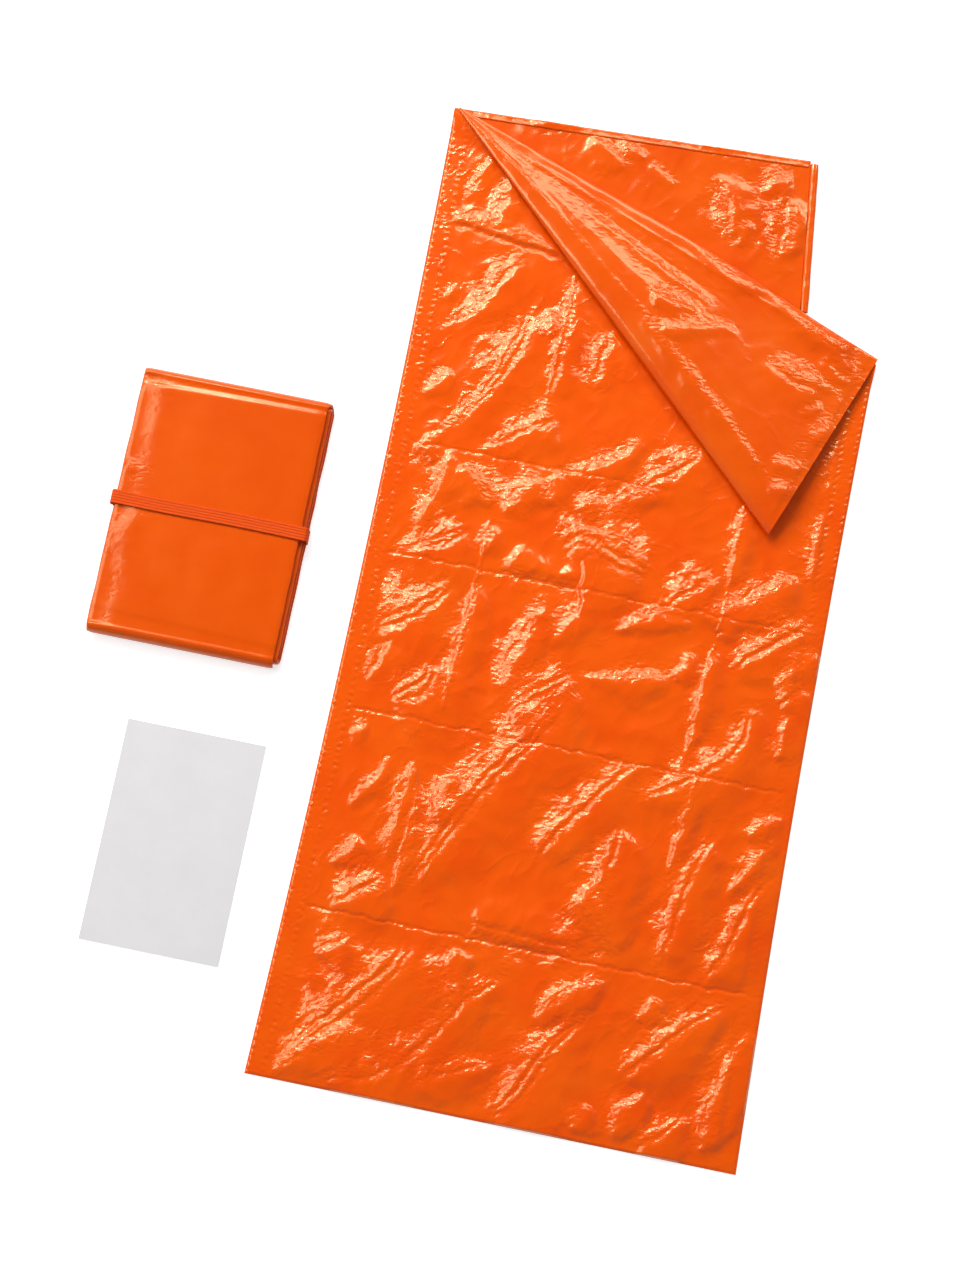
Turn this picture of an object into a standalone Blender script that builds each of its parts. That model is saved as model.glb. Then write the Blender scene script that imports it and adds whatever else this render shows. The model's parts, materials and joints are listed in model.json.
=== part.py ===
"""Survival bag set: an open lay-flat film bag with one mouth corner turned back, a second bag
folded into its pack under an elastic band, and the set's blank leaflet.

Metres, +Z up. The bag lies on z = 0 with its length along Y and its mouth at +Y, and the origin
is the centre of its underside. Film of about an eighth of a millimetre is drawn 1 mm thick.
"""
import math

import bmesh
import bpy
from mathutils import Matrix, Vector

# Film and clearances
FILM = 0.001
GAP = 0.0003

# Open bag
BAG_WIDTH = 0.900
BAG_LENGTH = 1.860
WAIST_DRAW_IN = 0.012
MOUTH_DRAW_IN = 0.007
AIR_GAP = 0.0113
SEAM_WIDTH = 0.036
WELD_SHARE = 0.35
WELD_RISE = 0.002
PUCKER_PITCH = 0.048
PUCKER_HEIGHT = 0.0015

# Creases left by packing: heights above the foot edge, and the two that the bag folds on
CREASE_HEIGHT = 0.0015
CREASE_HALF_WIDTH = 0.008
FOOT_CREASE = 0.315
SHIN_CREASE = 0.687
UPPER_CREASES = (0.985, 1.200, 1.620)
FOLD_CLEARANCE = 0.0002
ROW_SPACING = 0.120

# Mouth: the front film turns back along a fold from the left mouth corner to the right side
TURNED_SIDE = 0.338
FLAP_SHORT_EDGE = 0.396
FLAP_PUFF = 0.026
FLAP_RISE = ((0, 0), (0.13, 0.25), (0.39, 0.45), (0.67, 0.6), (0.89, 0.85), (1, 1))
FLAP_MARGIN = 0.030
FLAP_STATIONS = (0.05, 0.2, 0.4, 0.6, 0.8)
ROLL_SHARE = 0.10
ROLL_STEPS = 6
FOLD_RADIUS = 0.0019
BACK_MOUTH_WIDTH = 0.693
BACK_MOUTH_RISE = 0.030
BACK_ROLL_LEAN = 0.030
HEM_WIDTH = 0.014
TUCKED_WIDTH = 0.120
TUCK_CLEARANCE = 0.010
LIFT_RAMP = 0.035
EDGE_ROLL_WIDTH = 0.015
EDGE_ROLL_HEIGHT = 0.008
EDGE_ROLL_START = 200
EDGE_ROLL_STEPS = 10

# Packed bag: one strip of folded film rolled up flat, from its core outwards in four runs
PACK_CENTRE = (-0.727, 0.050)
PACK_WIDTH = 0.368
PACK_LENGTH = 0.512
RUN_COUNT = 4
RUN_THICKNESS = 0.0084
RUN_GAP = 0.0008
RUN_DRAW_IN = (0.006, 0.001, 0.003, 0.018, 0.018)
RUN_SHIFTS = (-0.001, 0.0, 0.001, -0.003, -0.003)
TAIL_TURN = 115
PACK_FREE_END = 0.012
PACK_END_SHARE = 0.45
PACK_SIDE_SHARES = ((0.5, 1), (0.95, 1), (0.985, 0.8), (1, 0.4))
PACK_CROWN = 0.003
TURN_STEPS = 8

# Elastic band round the pack
BAND_WIDTH = 0.026
BAND_CORD = 0.0018
BAND_RIB = 0.0007
BAND_CORDS = 5
BAND_CORNER = 0.005
BAND_CORNER_STEPS = 4
BAND_TOP_STOPS = (0.8, 0.5, 0.2, 0, -0.2, -0.5, -0.8)
JOIN_HEIGHT = 0.018
JOIN_THICKNESS = 0.0014

# Leaflet
CARD_CENTRE = (-0.667, -0.551)
CARD_WIDTH = 0.260
CARD_LENGTH = 0.410
CARD_THICKNESS = 0.001

# Heights that follow from the stack of films
FOOT_Y = -BAG_LENGTH / 2
MOUTH_Y = BAG_LENGTH / 2
BACK_MID = FILM / 2
SEAM_MID = FILM + GAP + FILM / 2
FRONT_MID = FILM + AIR_GAP + FILM / 2
FRONT_TOP = FRONT_MID + FILM / 2
CREASE_TOP = FRONT_TOP + CREASE_HEIGHT
FLAP_UNDER_MID = CREASE_TOP + GAP + FILM / 2
FLAP_TOP_MID = FLAP_UNDER_MID + FILM + GAP
BAND_THICKNESS = BAND_CORD + BAND_RIB

# Joint axes
SHIN_AXIS = Vector((0, FOOT_Y + SHIN_CREASE, CREASE_TOP + FOLD_CLEARANCE))
FOOT_AXIS = Vector((0, FOOT_Y + FOOT_CREASE, -FOLD_CLEARANCE))
FLAP_AXIS_Z = FRONT_TOP + GAP + FOLD_RADIUS


def half_width(y):
    """Half the bag's width at y: drawn in a little at the waist and the mouth."""
    along = (y - FOOT_Y) / BAG_LENGTH
    return BAG_WIDTH / 2 - WAIST_DRAW_IN * 4 * along * (1 - along) - MOUTH_DRAW_IN * along


# Fold line of the turned-back corner
FOLD_START = Vector((-half_width(MOUTH_Y), MOUTH_Y, FLAP_AXIS_Z))
FOLD_END_Y = MOUTH_Y - TURNED_SIDE
FOLD_END = Vector((half_width(FOLD_END_Y), FOLD_END_Y, FLAP_AXIS_Z))
FOLD_LENGTH = (FOLD_END - FOLD_START).length
FOLD_ALONG = (FOLD_END - FOLD_START).normalized()
FOLD_ACROSS = Vector((FOLD_ALONG.y, -FOLD_ALONG.x, 0))

# Right edge of the back film above the fold: where its rolled side meets the fold, and its top
BACK_TOP_X = FOLD_START.x + BACK_MOUTH_WIDTH
BACK_LOW_X = BACK_TOP_X + BACK_ROLL_LEAN
BACK_LOW_Y = FOLD_START.y + (BACK_LOW_X - FOLD_START.x) * FOLD_ALONG.y / FOLD_ALONG.x
TUCK_START_Y = BACK_LOW_Y + TUCK_CLEARANCE
TUCK_REACH = TUCKED_WIDTH + TUCK_CLEARANCE


def share(value, low, high):
    """How far value lies from low to high, held between 0 and 1."""
    return min(1.0, max(0.0, (value - low) / (high - low)))


def curve_value(knots, position):
    """Height of a broken line through (position, height) knots."""
    for (p0, h0), (p1, h1) in zip(knots, knots[1:]):
        if position <= p1:
            return h0 + (h1 - h0) * share(position, p0, p1)
    return knots[-1][1]


def new_collection(name):
    collection = bpy.data.collections.new(name)
    bpy.context.scene.collection.children.link(collection)
    return collection


def new_material(name, colour, roughness):
    """Principled material; colour is linear RGB."""
    material = bpy.data.materials.new(name)
    material.use_nodes = True
    shader = material.node_tree.nodes["Principled BSDF"]
    shader.inputs["Base Color"].default_value = (*colour, 1)
    shader.inputs["Roughness"].default_value = roughness
    shader.inputs["Metallic"].default_value = 0
    material.diffuse_color = (*colour, 1)
    return material


def new_axis(name, location, parent=None):
    """Empty on a joint's axis, which the moving pieces hang from."""
    axis = bpy.data.objects.new(name, None)
    axis.empty_display_size = 0.05
    axis.location = location - (parent.matrix_world.translation if parent else Vector())
    axis.parent = parent
    PARTS.objects.link(axis)
    bpy.context.view_layer.update()
    return axis


def new_piece(name, bm, colour, roughness, axis=None):
    """Object from a bmesh in world coordinates, hung from its axis when it moves."""
    bmesh.ops.recalc_face_normals(bm, faces=bm.faces)
    mesh = bpy.data.meshes.new(name)
    bm.to_mesh(mesh)
    bm.free()
    mesh.materials.append(new_material(name, colour, roughness))
    piece = bpy.data.objects.new(name, mesh)
    if axis:
        mesh.transform(Matrix.Translation(-axis.matrix_world.translation))
        piece.parent = axis
    PARTS.objects.link(piece)
    mesh.shade_smooth()
    mesh.set_sharp_from_angle(angle=math.radians(35))
    return piece


def film_piece(name, columns, rows, place, thickness=FILM, axis=None, cuts=(), closed=False,
               edge_share=None, colour=None, roughness=0.25):
    """Sheet: a grid laid by place(column, row), cut by planes, and given its thickness.

    columns and rows are lists of positions that place reads. A cut is (point, outward normal).
    A closed sheet joins its last row to its first. edge_share(column, row) thins its margins.
    """
    bm = bmesh.new()
    bmesh.ops.create_grid(bm, x_segments=len(columns) - 1, y_segments=len(rows) - 1, size=1)
    shares = []
    for vertex in bm.verts:
        column = columns[round((vertex.co.x + 1) / 2 * (len(columns) - 1))]
        row = rows[round((vertex.co.y + 1) / 2 * (len(rows) - 1))]
        vertex.co = place(column, row)
        shares.append(edge_share(column, row) if edge_share else 1.0)
    if closed:
        bmesh.ops.remove_doubles(bm, verts=bm.verts, dist=0.00001)
    for point, outward in cuts:
        geometry = bm.verts[:] + bm.edges[:] + bm.faces[:]
        bmesh.ops.bisect_plane(bm, geom=geometry, plane_co=point, plane_no=outward, clear_outer=True)
    piece = new_piece(name, bm, colour or ORANGE, roughness, axis)
    solidify = piece.modifiers.new("film thickness", "SOLIDIFY")
    solidify.thickness = thickness
    solidify.offset = 0
    solidify.use_even_offset = True
    if edge_share:
        group = piece.vertex_groups.new(name="thickness")
        for index, value in enumerate(shares):
            group.add([index], value, "REPLACE")
        solidify.vertex_group = group.name
    return piece


def back_right_edge(y):
    """Right edge of the back film: side seam, then the fold line, then its rolled side."""
    if y <= FOLD_END.y:
        return half_width(y)
    if y <= BACK_LOW_Y:
        return FOLD_END.x + (BACK_LOW_X - FOLD_END.x) * share(y, FOLD_END.y, BACK_LOW_Y)
    return BACK_LOW_X + (BACK_TOP_X - BACK_LOW_X) * (y - BACK_LOW_Y) / (MOUTH_Y - BACK_LOW_Y)


def back_height(x, y):
    """Middle height of the back film: flat, and raised where its margin is tucked under it."""
    inner = back_right_edge(y) - TUCK_REACH
    across = share(x, inner - LIFT_RAMP, inner)
    along = share(y, BACK_LOW_Y - LIFT_RAMP, BACK_LOW_Y)
    return BACK_MID + (FILM + GAP) * across * along


def front_height(x, y, creases):
    """Middle height of the front film: its creases fade out towards the turned-back fold."""
    lengthwise = 1 - share(abs(abs(x) - half_width(y) / 2), 0, CREASE_HALF_WIDTH)
    crosswise = max((1 - share(abs(y - crease), 0, CREASE_HALF_WIDTH) for crease in creases))
    fold_distance = (Vector((x, y, 0)) - FOLD_START).dot(FOLD_ACROSS)
    fade = share(fold_distance, ROW_SPACING, 2 * ROW_SPACING)
    return FRONT_MID + CREASE_HEIGHT * max(lengthwise, crosswise) * fade


def seam_height(across):
    """Middle height of a side margin: flat at the weld, then rising to the front film."""
    return curve_value(((0, SEAM_MID), (WELD_SHARE, SEAM_MID + WELD_RISE), (1, FRONT_MID)), across)


# Panels of the open bag
def panel_rows(low, high, knots=()):
    """Rows from low to high through the knots, close enough to follow the drawn-in sides."""
    stops = sorted({low, high, *(min(high, max(low, knot)) for knot in knots)})
    rows = [low]
    for start, end in zip(stops, stops[1:]):
        count = math.ceil((end - start) / ROW_SPACING)
        rows += [start + (end - start) * step / count for step in range(1, count + 1)]
    return rows


def panel_front(name, low, high, creases, axis=None, cuts=()):
    def place(column, y):
        x = column[0] * (half_width(y) - SEAM_WIDTH - 2 * GAP) + column[1] * CREASE_HALF_WIDTH
        return Vector((x, y, front_height(x, y, creases)))

    columns = [(-1, 0)]
    for side in (-1, 1):
        for offset in (-1, 0, 1):
            columns.append((side * 0.5 * crease_ratio(low, high), offset))
    columns.append((1, 0))
    knots = [crease + offset * CREASE_HALF_WIDTH for crease in creases for offset in (-1, 0, 1)]
    return film_piece(name, columns, panel_rows(low, high, knots), place, axis=axis, cuts=cuts)


def crease_ratio(low, high):
    """Half width over the front film's half width, so that a column lies on the crease."""
    middle = half_width((low + high) / 2)
    return middle / (middle - SEAM_WIDTH - 2 * GAP)


def panel_back(name, low, high, axis=None):
    def place(column, y):
        return Vector((column * half_width(y), y, BACK_MID))

    return film_piece(name, [-1, 1], panel_rows(low, high), place, axis=axis)


def side_seam(name, side, low, high, axis=None, cuts=()):
    """Welded side margin with its row of puckers, which ends flat at both ends."""
    waves = max(1, round((high - low) / PUCKER_PITCH))
    steps = 4 * waves

    def place(across, step):
        y = low + (high - low) * step / steps
        x = side * (half_width(y) - SEAM_WIDTH * across)
        pucker = (1 - math.cos(2 * math.pi * step / 4)) / 2
        fade = 1 - share(across, WELD_SHARE, 1)
        return Vector((x, y, seam_height(across) + PUCKER_HEIGHT * pucker * fade))

    across = [0, WELD_SHARE, 1] if side < 0 else [1, WELD_SHARE, 0]
    return film_piece(name, across, list(range(steps + 1)), place, axis=axis, cuts=cuts)


def build_upper_panel():
    """The fixed part of the bag, from the shin crease to the mouth."""
    low = SHIN_AXIS.y + GAP / 2
    fold_cut = (FOLD_START, -FOLD_ACROSS)
    creases = [SHIN_AXIS.y] + [FOOT_Y + height for height in UPPER_CREASES]
    panel_front("front_sheet", low, MOUTH_Y, creases, cuts=[fold_cut])
    side_seam("left_seam", -1, low, MOUTH_Y, cuts=[fold_cut])
    side_seam("right_seam", 1, low, FOLD_END_Y + SEAM_WIDTH, cuts=[fold_cut])

    mouth_along = Vector((BACK_TOP_X - FOLD_START.x, BACK_MOUTH_RISE, 0)).normalized()
    mouth_out = Vector((-mouth_along.y, mouth_along.x, 0))

    def back_place(column, y):
        right = back_right_edge(y)
        x = right - column[1] if column[0] == "right" else -half_width(y) + column[1]
        return Vector((x, y, back_height(x, y)))

    columns = [("left", 0), ("left", BAG_WIDTH / 4)]
    columns += [("right", TUCK_REACH + LIFT_RAMP), ("right", TUCK_REACH), ("right", 0)]
    knots = (FOLD_END.y, BACK_LOW_Y - LIFT_RAMP, BACK_LOW_Y)
    rows = panel_rows(low, MOUTH_Y + 2 * BACK_MOUTH_RISE, knots)
    mouth_corner = Vector((FOLD_START.x, MOUTH_Y, 0))
    film_piece("back_sheet", columns, rows, back_place, cuts=[(mouth_corner, mouth_out)])

    def hem_place(along, across):
        spot = mouth_corner + mouth_along * along - mouth_out * (HEM_WIDTH * (1 - across))
        height = back_height(spot.x, spot.y) + FILM + GAP
        return Vector((spot.x, spot.y, height))

    hem_end = BACK_MOUTH_WIDTH - HEM_WIDTH / 4
    raised = hem_end - TUCK_REACH
    hem_knots = [SEAM_WIDTH + 4 * GAP, raised - LIFT_RAMP, raised, hem_end]
    film_piece("back_mouth_hem", hem_knots, [0, 0.5, 1], hem_place, colour=PALE_ORANGE)
    build_tucked_margin()
    build_mouth_fold()


def build_tucked_margin():
    """The back film's side, rolled round and tucked under it."""
    middle = Vector((GAP + EDGE_ROLL_WIDTH / 2, EDGE_ROLL_HEIGHT / 2))
    radius_x = (EDGE_ROLL_WIDTH - FILM) / 2
    radius_z = (EDGE_ROLL_HEIGHT - FILM) / 2
    section = []
    for step in range(EDGE_ROLL_STEPS + 1):
        angle = math.radians(EDGE_ROLL_START - (EDGE_ROLL_START + 90) * step / EDGE_ROLL_STEPS)
        section.append((middle.x + radius_x * math.cos(angle), middle.y + radius_z * math.sin(angle)))
    section[-1] = (middle.x, FILM / 2)
    section.append((-TUCKED_WIDTH, FILM / 2))

    def place(point, y):
        return Vector((back_right_edge(y) + point[0] + GAP, y, point[1]))

    rows = [TUCK_START_Y, MOUTH_Y + BACK_MOUTH_RISE * 0.8]
    film_piece("tucked_margin", section, rows, place)


def build_mouth_fold():
    """Rounded bend of the front film, which the turned-back corner swings on."""
    bm = bmesh.new()
    bmesh.ops.create_cone(bm, cap_ends=True, segments=12, radius1=FOLD_RADIUS,
                          radius2=FOLD_RADIUS, depth=FOLD_LENGTH)
    turn = FOLD_ALONG.to_track_quat("Z", "Y").to_matrix().to_4x4()
    middle = (FOLD_START + FOLD_END) / 2
    bmesh.ops.transform(bm, matrix=Matrix.Translation(middle) @ turn, verts=bm.verts)
    new_piece("mouth_fold", bm, ORANGE, 0.25)


def build_shin_panel():
    axis = new_axis("shin_fold_axis", SHIN_AXIS)
    low = FOOT_AXIS.y + GAP / 2
    high = SHIN_AXIS.y - GAP / 2
    panel_back("shin_back_sheet", low, high, axis)
    panel_front("shin_front_sheet", low, high, [FOOT_AXIS.y, SHIN_AXIS.y], axis)
    side_seam("shin_left_seam", -1, low, high, axis)
    side_seam("shin_right_seam", 1, low, high, axis)
    return axis


def build_foot_panel(shin_axis):
    axis = new_axis("foot_fold_axis", FOOT_AXIS, shin_axis)
    high = FOOT_AXIS.y - GAP / 2
    inner = FOOT_Y + SEAM_WIDTH
    panel_back("foot_back_sheet", FOOT_Y, high, axis)
    panel_front("foot_front_sheet", inner + GAP, high, [FOOT_AXIS.y], axis)
    side_seam("foot_left_seam", -1, inner + GAP, high, axis)
    side_seam("foot_right_seam", 1, inner + GAP, high, axis)

    def place(column, across):
        y = FOOT_Y + SEAM_WIDTH * across
        side, inset = column
        x = side * (half_width(y) - SEAM_WIDTH * inset)
        return Vector((x, y, seam_height(min(inset, across))))

    steps = (0, WELD_SHARE, 1)
    columns = [(-1, inset) for inset in steps] + [(1, inset) for inset in reversed(steps)]
    film_piece("foot_seam", columns, list(steps), place, axis=axis)


# Turned-back corner, worked in distance along the fold and distance across it
def flap_width(along):
    return FLAP_SHORT_EDGE * along / FOLD_LENGTH


def flap_point(along, across, height):
    spot = FOLD_START + FOLD_ALONG * along + FOLD_ACROSS * across
    return Vector((spot.x, spot.y, height))


def flap_top_height(along, part):
    """Height of the puffed upper film, part of the way from the fold to the rolled edge."""
    return FLAP_TOP_MID + FLAP_PUFF * along / FOLD_LENGTH * curve_value(FLAP_RISE, part)


def build_flap():
    axis = new_axis("mouth_flap_axis", (FOLD_START + FOLD_END) / 2)
    inner = FOLD_RADIUS + GAP
    stations = [FOLD_LENGTH * part for part in FLAP_STATIONS]
    margin_start = FOLD_LENGTH - FLAP_MARGIN
    parts = [part for part, _ in FLAP_RISE]

    def across_of(along, part):
        return inner + (flap_width(along) * (1 - ROLL_SHARE) - inner) * part

    def top_place(along, part):
        return flap_point(along, across_of(along, part), flap_top_height(along, part))

    def under_place(along, part):
        return flap_point(along, across_of(along, part), FLAP_UNDER_MID)

    film_piece("flap_top_sheet", stations + [margin_start], parts, top_place, axis=axis)
    film_piece("flap_under_sheet", stations + [FOLD_LENGTH], [0, 1], under_place, axis=axis)
    film_piece("flap_side_margin", [margin_start + GAP, FOLD_LENGTH], parts, top_place, axis=axis,
               colour=PALE_ORANGE)

    def roll_place(along, degrees):
        angle = math.radians(degrees)
        crest = flap_top_height(along, 1)
        middle = (crest + FLAP_UNDER_MID) / 2
        across = flap_width(along) * (1 - ROLL_SHARE + ROLL_SHARE * math.cos(angle)) + GAP
        return flap_point(along, across, middle + (crest - middle) * math.sin(angle))

    angles = [90 - 180 * step / ROLL_STEPS for step in range(ROLL_STEPS + 1)]
    film_piece("flap_mouth_roll", stations + [FOLD_LENGTH], angles, roll_place, axis=axis)


# Packed bag
def pack_bottom():
    return BAND_THICKNESS + GAP


def winding_level(run):
    """Level of a run, counted from the core: they lie over and under it by turns."""
    return (run + 1) // 2 * (1 if run % 2 else -1)


def pack_route():
    """Middle line of the rolled strip as (y, z, run, level): runs joined by wider and wider turns."""
    pitch = RUN_THICKNESS + RUN_GAP
    lowest = min(winding_level(run) for run in range(RUN_COUNT))
    core_z = pack_bottom() + RUN_THICKNESS / 2 - lowest * pitch
    ends = {}
    for way, first_turn in ((1, 1), (-1, 2)):
        widest = max(range(first_turn, RUN_COUNT + 1, 2)) * pitch / 2
        ends[way] = way * (PACK_LENGTH / 2 - widest - RUN_THICKNESS / 2)
    route = []
    for run in range(RUN_COUNT):
        way = 1 if run % 2 == 0 else -1
        level = winding_level(run)
        start, end = ends[-way], ends[way]
        stops = (start, start + way * PACK_FREE_END, end)
        route += [(y, core_z + level * pitch, run, level) for y in stops]
        radius = (run + 1) * pitch / 2
        turn_end = TAIL_TURN if run == RUN_COUNT - 1 else 180
        for step in range(1, TURN_STEPS + 1):
            part = step / TURN_STEPS * turn_end / 180
            angle = math.pi * part
            if part < 1:
                rise = radius * (1 - math.cos(angle)) * (1 if run % 2 == 0 else -1)
                y = end + way * radius * math.sin(angle)
                next_level = level + (winding_level(run + 1) - level) * part
                route.append((y, core_z + level * pitch + rise, run + part, next_level))
    return route


def run_value(values, run):
    """Value for a run, shaded from one run's to the next round the turn between them."""
    low = min(int(run), len(values) - 2)
    return values[low] + (values[low + 1] - values[low]) * (run - low)


def pack_crown(across, level):
    """How far a run arches up at its middle: not at all at the bottom, most at the top."""
    levels = [winding_level(run) for run in range(RUN_COUNT)]
    return PACK_CROWN * share(level, min(levels), max(levels)) * (1 - across * across)


def build_pack():
    axis = new_axis("pack_axis", Vector((*PACK_CENTRE, 0)))
    route = pack_route()

    def place(across, point):
        y, z, run, level = point
        x = across * (PACK_WIDTH - run_value(RUN_DRAW_IN, run)) / 2 + run_value(RUN_SHIFTS, run)
        return Vector((PACK_CENTRE[0] + x, PACK_CENTRE[1] + y, z + pack_crown(across, level)))

    def edge_share(across, point):
        side = curve_value(PACK_SIDE_SHARES, abs(across))
        return side * (PACK_END_SHARE if point in (route[0], route[-1]) else 1)

    parts = [part for part, _ in PACK_SIDE_SHARES]
    columns = [-part for part in reversed(parts)] + [0] + parts
    film_piece("packed_bag", columns, route, place, thickness=RUN_THICKNESS, axis=axis,
               edge_share=edge_share)
    return axis


def band_route():
    """Middle line of the band's inner cords as (x, z, outward) round the pack."""
    reach = max((PACK_WIDTH - drawn) / 2 + abs(shift) for drawn, shift in zip(RUN_DRAW_IN, RUN_SHIFTS))
    half = reach + GAP + BAND_CORD / 2
    low = BAND_CORD / 2 + BAND_RIB
    stack = RUN_COUNT * RUN_THICKNESS + (RUN_COUNT - 1) * RUN_GAP
    high = pack_bottom() + stack + GAP + BAND_CORD / 2
    route = []
    for x_side, z_side, start in ((1, -1, -90), (1, 1, 0), (-1, 1, 90), (-1, -1, 180)):
        if (x_side, z_side) == (-1, 1):
            for part in BAND_TOP_STOPS:
                arch = PACK_CROWN * (1 - part * part)
                route.append((part * half, high + arch, Vector((0, 0, 1))))
        for step in range(BAND_CORNER_STEPS + 1):
            angle = math.radians(start + 90 * step / BAND_CORNER_STEPS)
            outward = Vector((math.cos(angle), 0, math.sin(angle)))
            centre_x = x_side * (half - BAND_CORNER)
            centre_z = (low if z_side < 0 else high) - z_side * BAND_CORNER
            route.append((centre_x + BAND_CORNER * outward.x, centre_z + BAND_CORNER * outward.z, outward))
    return route


def build_band(pack_axis):
    centre = Vector((*PACK_CENTRE, 0))
    axis = new_axis("band_axis", centre + Vector((0, 0, pack_bottom())), pack_axis)
    route = band_route()
    ribs = list(range(2 * BAND_CORDS + 1))

    def place(rib, index):
        x, z, outward = route[index % len(route)]
        y = BAND_WIDTH * (rib / (2 * BAND_CORDS) - 0.5)
        return centre + Vector((x, y, z)) + outward * (BAND_RIB * (rib % 2))

    film_piece("elastic_band", ribs, list(range(len(route) + 1)), place, thickness=BAND_CORD,
               axis=axis, closed=True, colour=BAND_ORANGE, roughness=0.7)

    outer = max(x for x, _, _ in route) + BAND_CORD / 2 + BAND_RIB
    low = min(z for _, z, _ in route)
    high = max(z for _, z, _ in route)
    bm = bmesh.new()
    bmesh.ops.create_cube(bm, size=1)
    size = Matrix.Diagonal((JOIN_THICKNESS, BAND_WIDTH, JOIN_HEIGHT, 1))
    spot = centre + Vector((-outer - GAP - JOIN_THICKNESS / 2, 0, (low + high) / 2))
    bmesh.ops.transform(bm, matrix=Matrix.Translation(spot) @ size, verts=bm.verts)
    bmesh.ops.bevel(bm, geom=bm.edges, offset=JOIN_THICKNESS / 4, segments=1, affect="EDGES")
    new_piece("band_join", bm, BAND_ORANGE, 0.7, axis)


def build_card():
    axis = new_axis("card_axis", Vector((*CARD_CENTRE, 0)))
    bm = bmesh.new()
    bmesh.ops.create_cube(bm, size=1)
    size = Matrix.Diagonal((CARD_WIDTH, CARD_LENGTH, CARD_THICKNESS, 1))
    spot = Vector((*CARD_CENTRE, CARD_THICKNESS / 2))
    bmesh.ops.transform(bm, matrix=Matrix.Translation(spot) @ size, verts=bm.verts)
    new_piece("instruction_card", bm, PAPER, 0.8, axis)


for old in list(bpy.data.objects):
    bpy.data.objects.remove(old, do_unlink=True)

ORANGE = (0.86, 0.09, 0.003)
PALE_ORANGE = (0.89, 0.14, 0.02)
BAND_ORANGE = (0.80, 0.09, 0.008)
PAPER = (0.76, 0.74, 0.74)
PARTS = new_collection("survival_bag")

build_upper_panel()
shin_axis = build_shin_panel()
build_foot_panel(shin_axis)
build_flap()
pack_axis = build_pack()
build_band(pack_axis)
build_card()
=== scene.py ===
import json
import math

import bmesh
import bpy
import numpy as np
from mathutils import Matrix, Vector


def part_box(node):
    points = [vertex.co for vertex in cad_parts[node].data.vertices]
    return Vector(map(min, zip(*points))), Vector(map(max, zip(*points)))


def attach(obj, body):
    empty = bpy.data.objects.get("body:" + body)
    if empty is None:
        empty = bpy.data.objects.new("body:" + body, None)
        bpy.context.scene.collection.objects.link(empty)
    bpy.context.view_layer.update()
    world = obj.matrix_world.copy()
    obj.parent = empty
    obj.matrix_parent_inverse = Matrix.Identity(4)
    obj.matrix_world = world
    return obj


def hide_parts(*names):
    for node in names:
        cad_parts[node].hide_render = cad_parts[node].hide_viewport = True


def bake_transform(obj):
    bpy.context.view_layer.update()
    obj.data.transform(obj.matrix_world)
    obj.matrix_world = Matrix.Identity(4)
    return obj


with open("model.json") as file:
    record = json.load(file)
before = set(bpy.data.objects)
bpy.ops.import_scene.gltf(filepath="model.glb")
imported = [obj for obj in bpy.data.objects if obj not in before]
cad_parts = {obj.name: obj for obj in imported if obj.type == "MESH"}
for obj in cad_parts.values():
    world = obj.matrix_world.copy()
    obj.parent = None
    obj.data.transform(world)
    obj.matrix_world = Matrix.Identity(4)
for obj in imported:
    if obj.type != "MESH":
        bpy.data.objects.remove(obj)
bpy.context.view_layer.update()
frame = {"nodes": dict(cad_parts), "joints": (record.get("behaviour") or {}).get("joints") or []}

# Places taken from the frame
foot_low, foot_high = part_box("foot_back_sheet")
joints = {joint["name"]: joint for joint in frame["joints"]}
SHIN_AXIS = Vector(joints["shin_fold"]["pos_m"])
FOOT_AXIS = Vector(joints["foot_fold"]["pos_m"])
FLAP_AXIS = Vector(joints["mouth_flap_turn"]["pos_m"])
FOLD_ALONG = -Vector(joints["mouth_flap_turn"]["axis"]).normalized()
FOLD_ACROSS = Vector((FOLD_ALONG.y, -FOLD_ALONG.x, 0))

# Open bag, in metres
FOOT_Y = foot_low.y
MOUTH_Y = -FOOT_Y
LENGTH = MOUTH_Y - FOOT_Y
WIDTH = foot_high.x - foot_low.x
WAIST_DRAW_IN = 0.012
MOUTH_DRAW_IN = 0.007
SEAM_WIDTH = 0.036
SEAM_HEIGHT = 0.0052
EDGE_HEIGHT = 0.0016
PUCKER_STEP = 0.0135
PUCKER_HEIGHT = 0.0008
MAP_MARGIN = 0.01
FLAP_HINGE_Z = 0.0139
CEILING = SHIN_AXIS.z - 0.0004
FILM_FLOOR = 0.0030
CELL = 0.002
FILM_STEP = 0.0033
FOLD_LEAN = math.radians(55)
FOLD_SPREAD = 1.3

# Cross sections of a fold's lit flank, for narrow, middle and wide folds: a factor on its height,
# then (place from the crest at 0 to the foot at 1, height)
TOOTH_WIDTHS = (0.026, 0.040)
TEETH = (
    (1.00, (0, 1), (0.09, 0.87), (0.78, 0.26), (0.86, 0.31), (1, 0.16), (1.9, 0)),
    (0.62, (0, 1), (0.07, 0.85), (0.42, 0.36), (0.51, 0.66), (1, 0.14), (1.7, 0)),
    (0.50, (0, 1), (0.05, 0.86), (0.28, 0.46), (0.36, 0.74), (0.62, 0.26), (0.70, 0.50),
     (1, 0.12), (1.5, 0)),
)


def half_width(y):
    """Half of the bag's width, drawn in at its middle and towards its mouth."""
    along = (y - FOOT_Y) / LENGTH
    return WIDTH / 2 - WAIST_DRAW_IN * 4 * along * (1 - along) - MOUTH_DRAW_IN * along


FOLD_START = Vector((-half_width(MOUTH_Y), MOUTH_Y, FLAP_AXIS.z))
FOLD_LENGTH = 2 * (FLAP_AXIS - FOLD_START).length
FOLD_END = FOLD_START + FOLD_ALONG * FOLD_LENGTH


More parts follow.
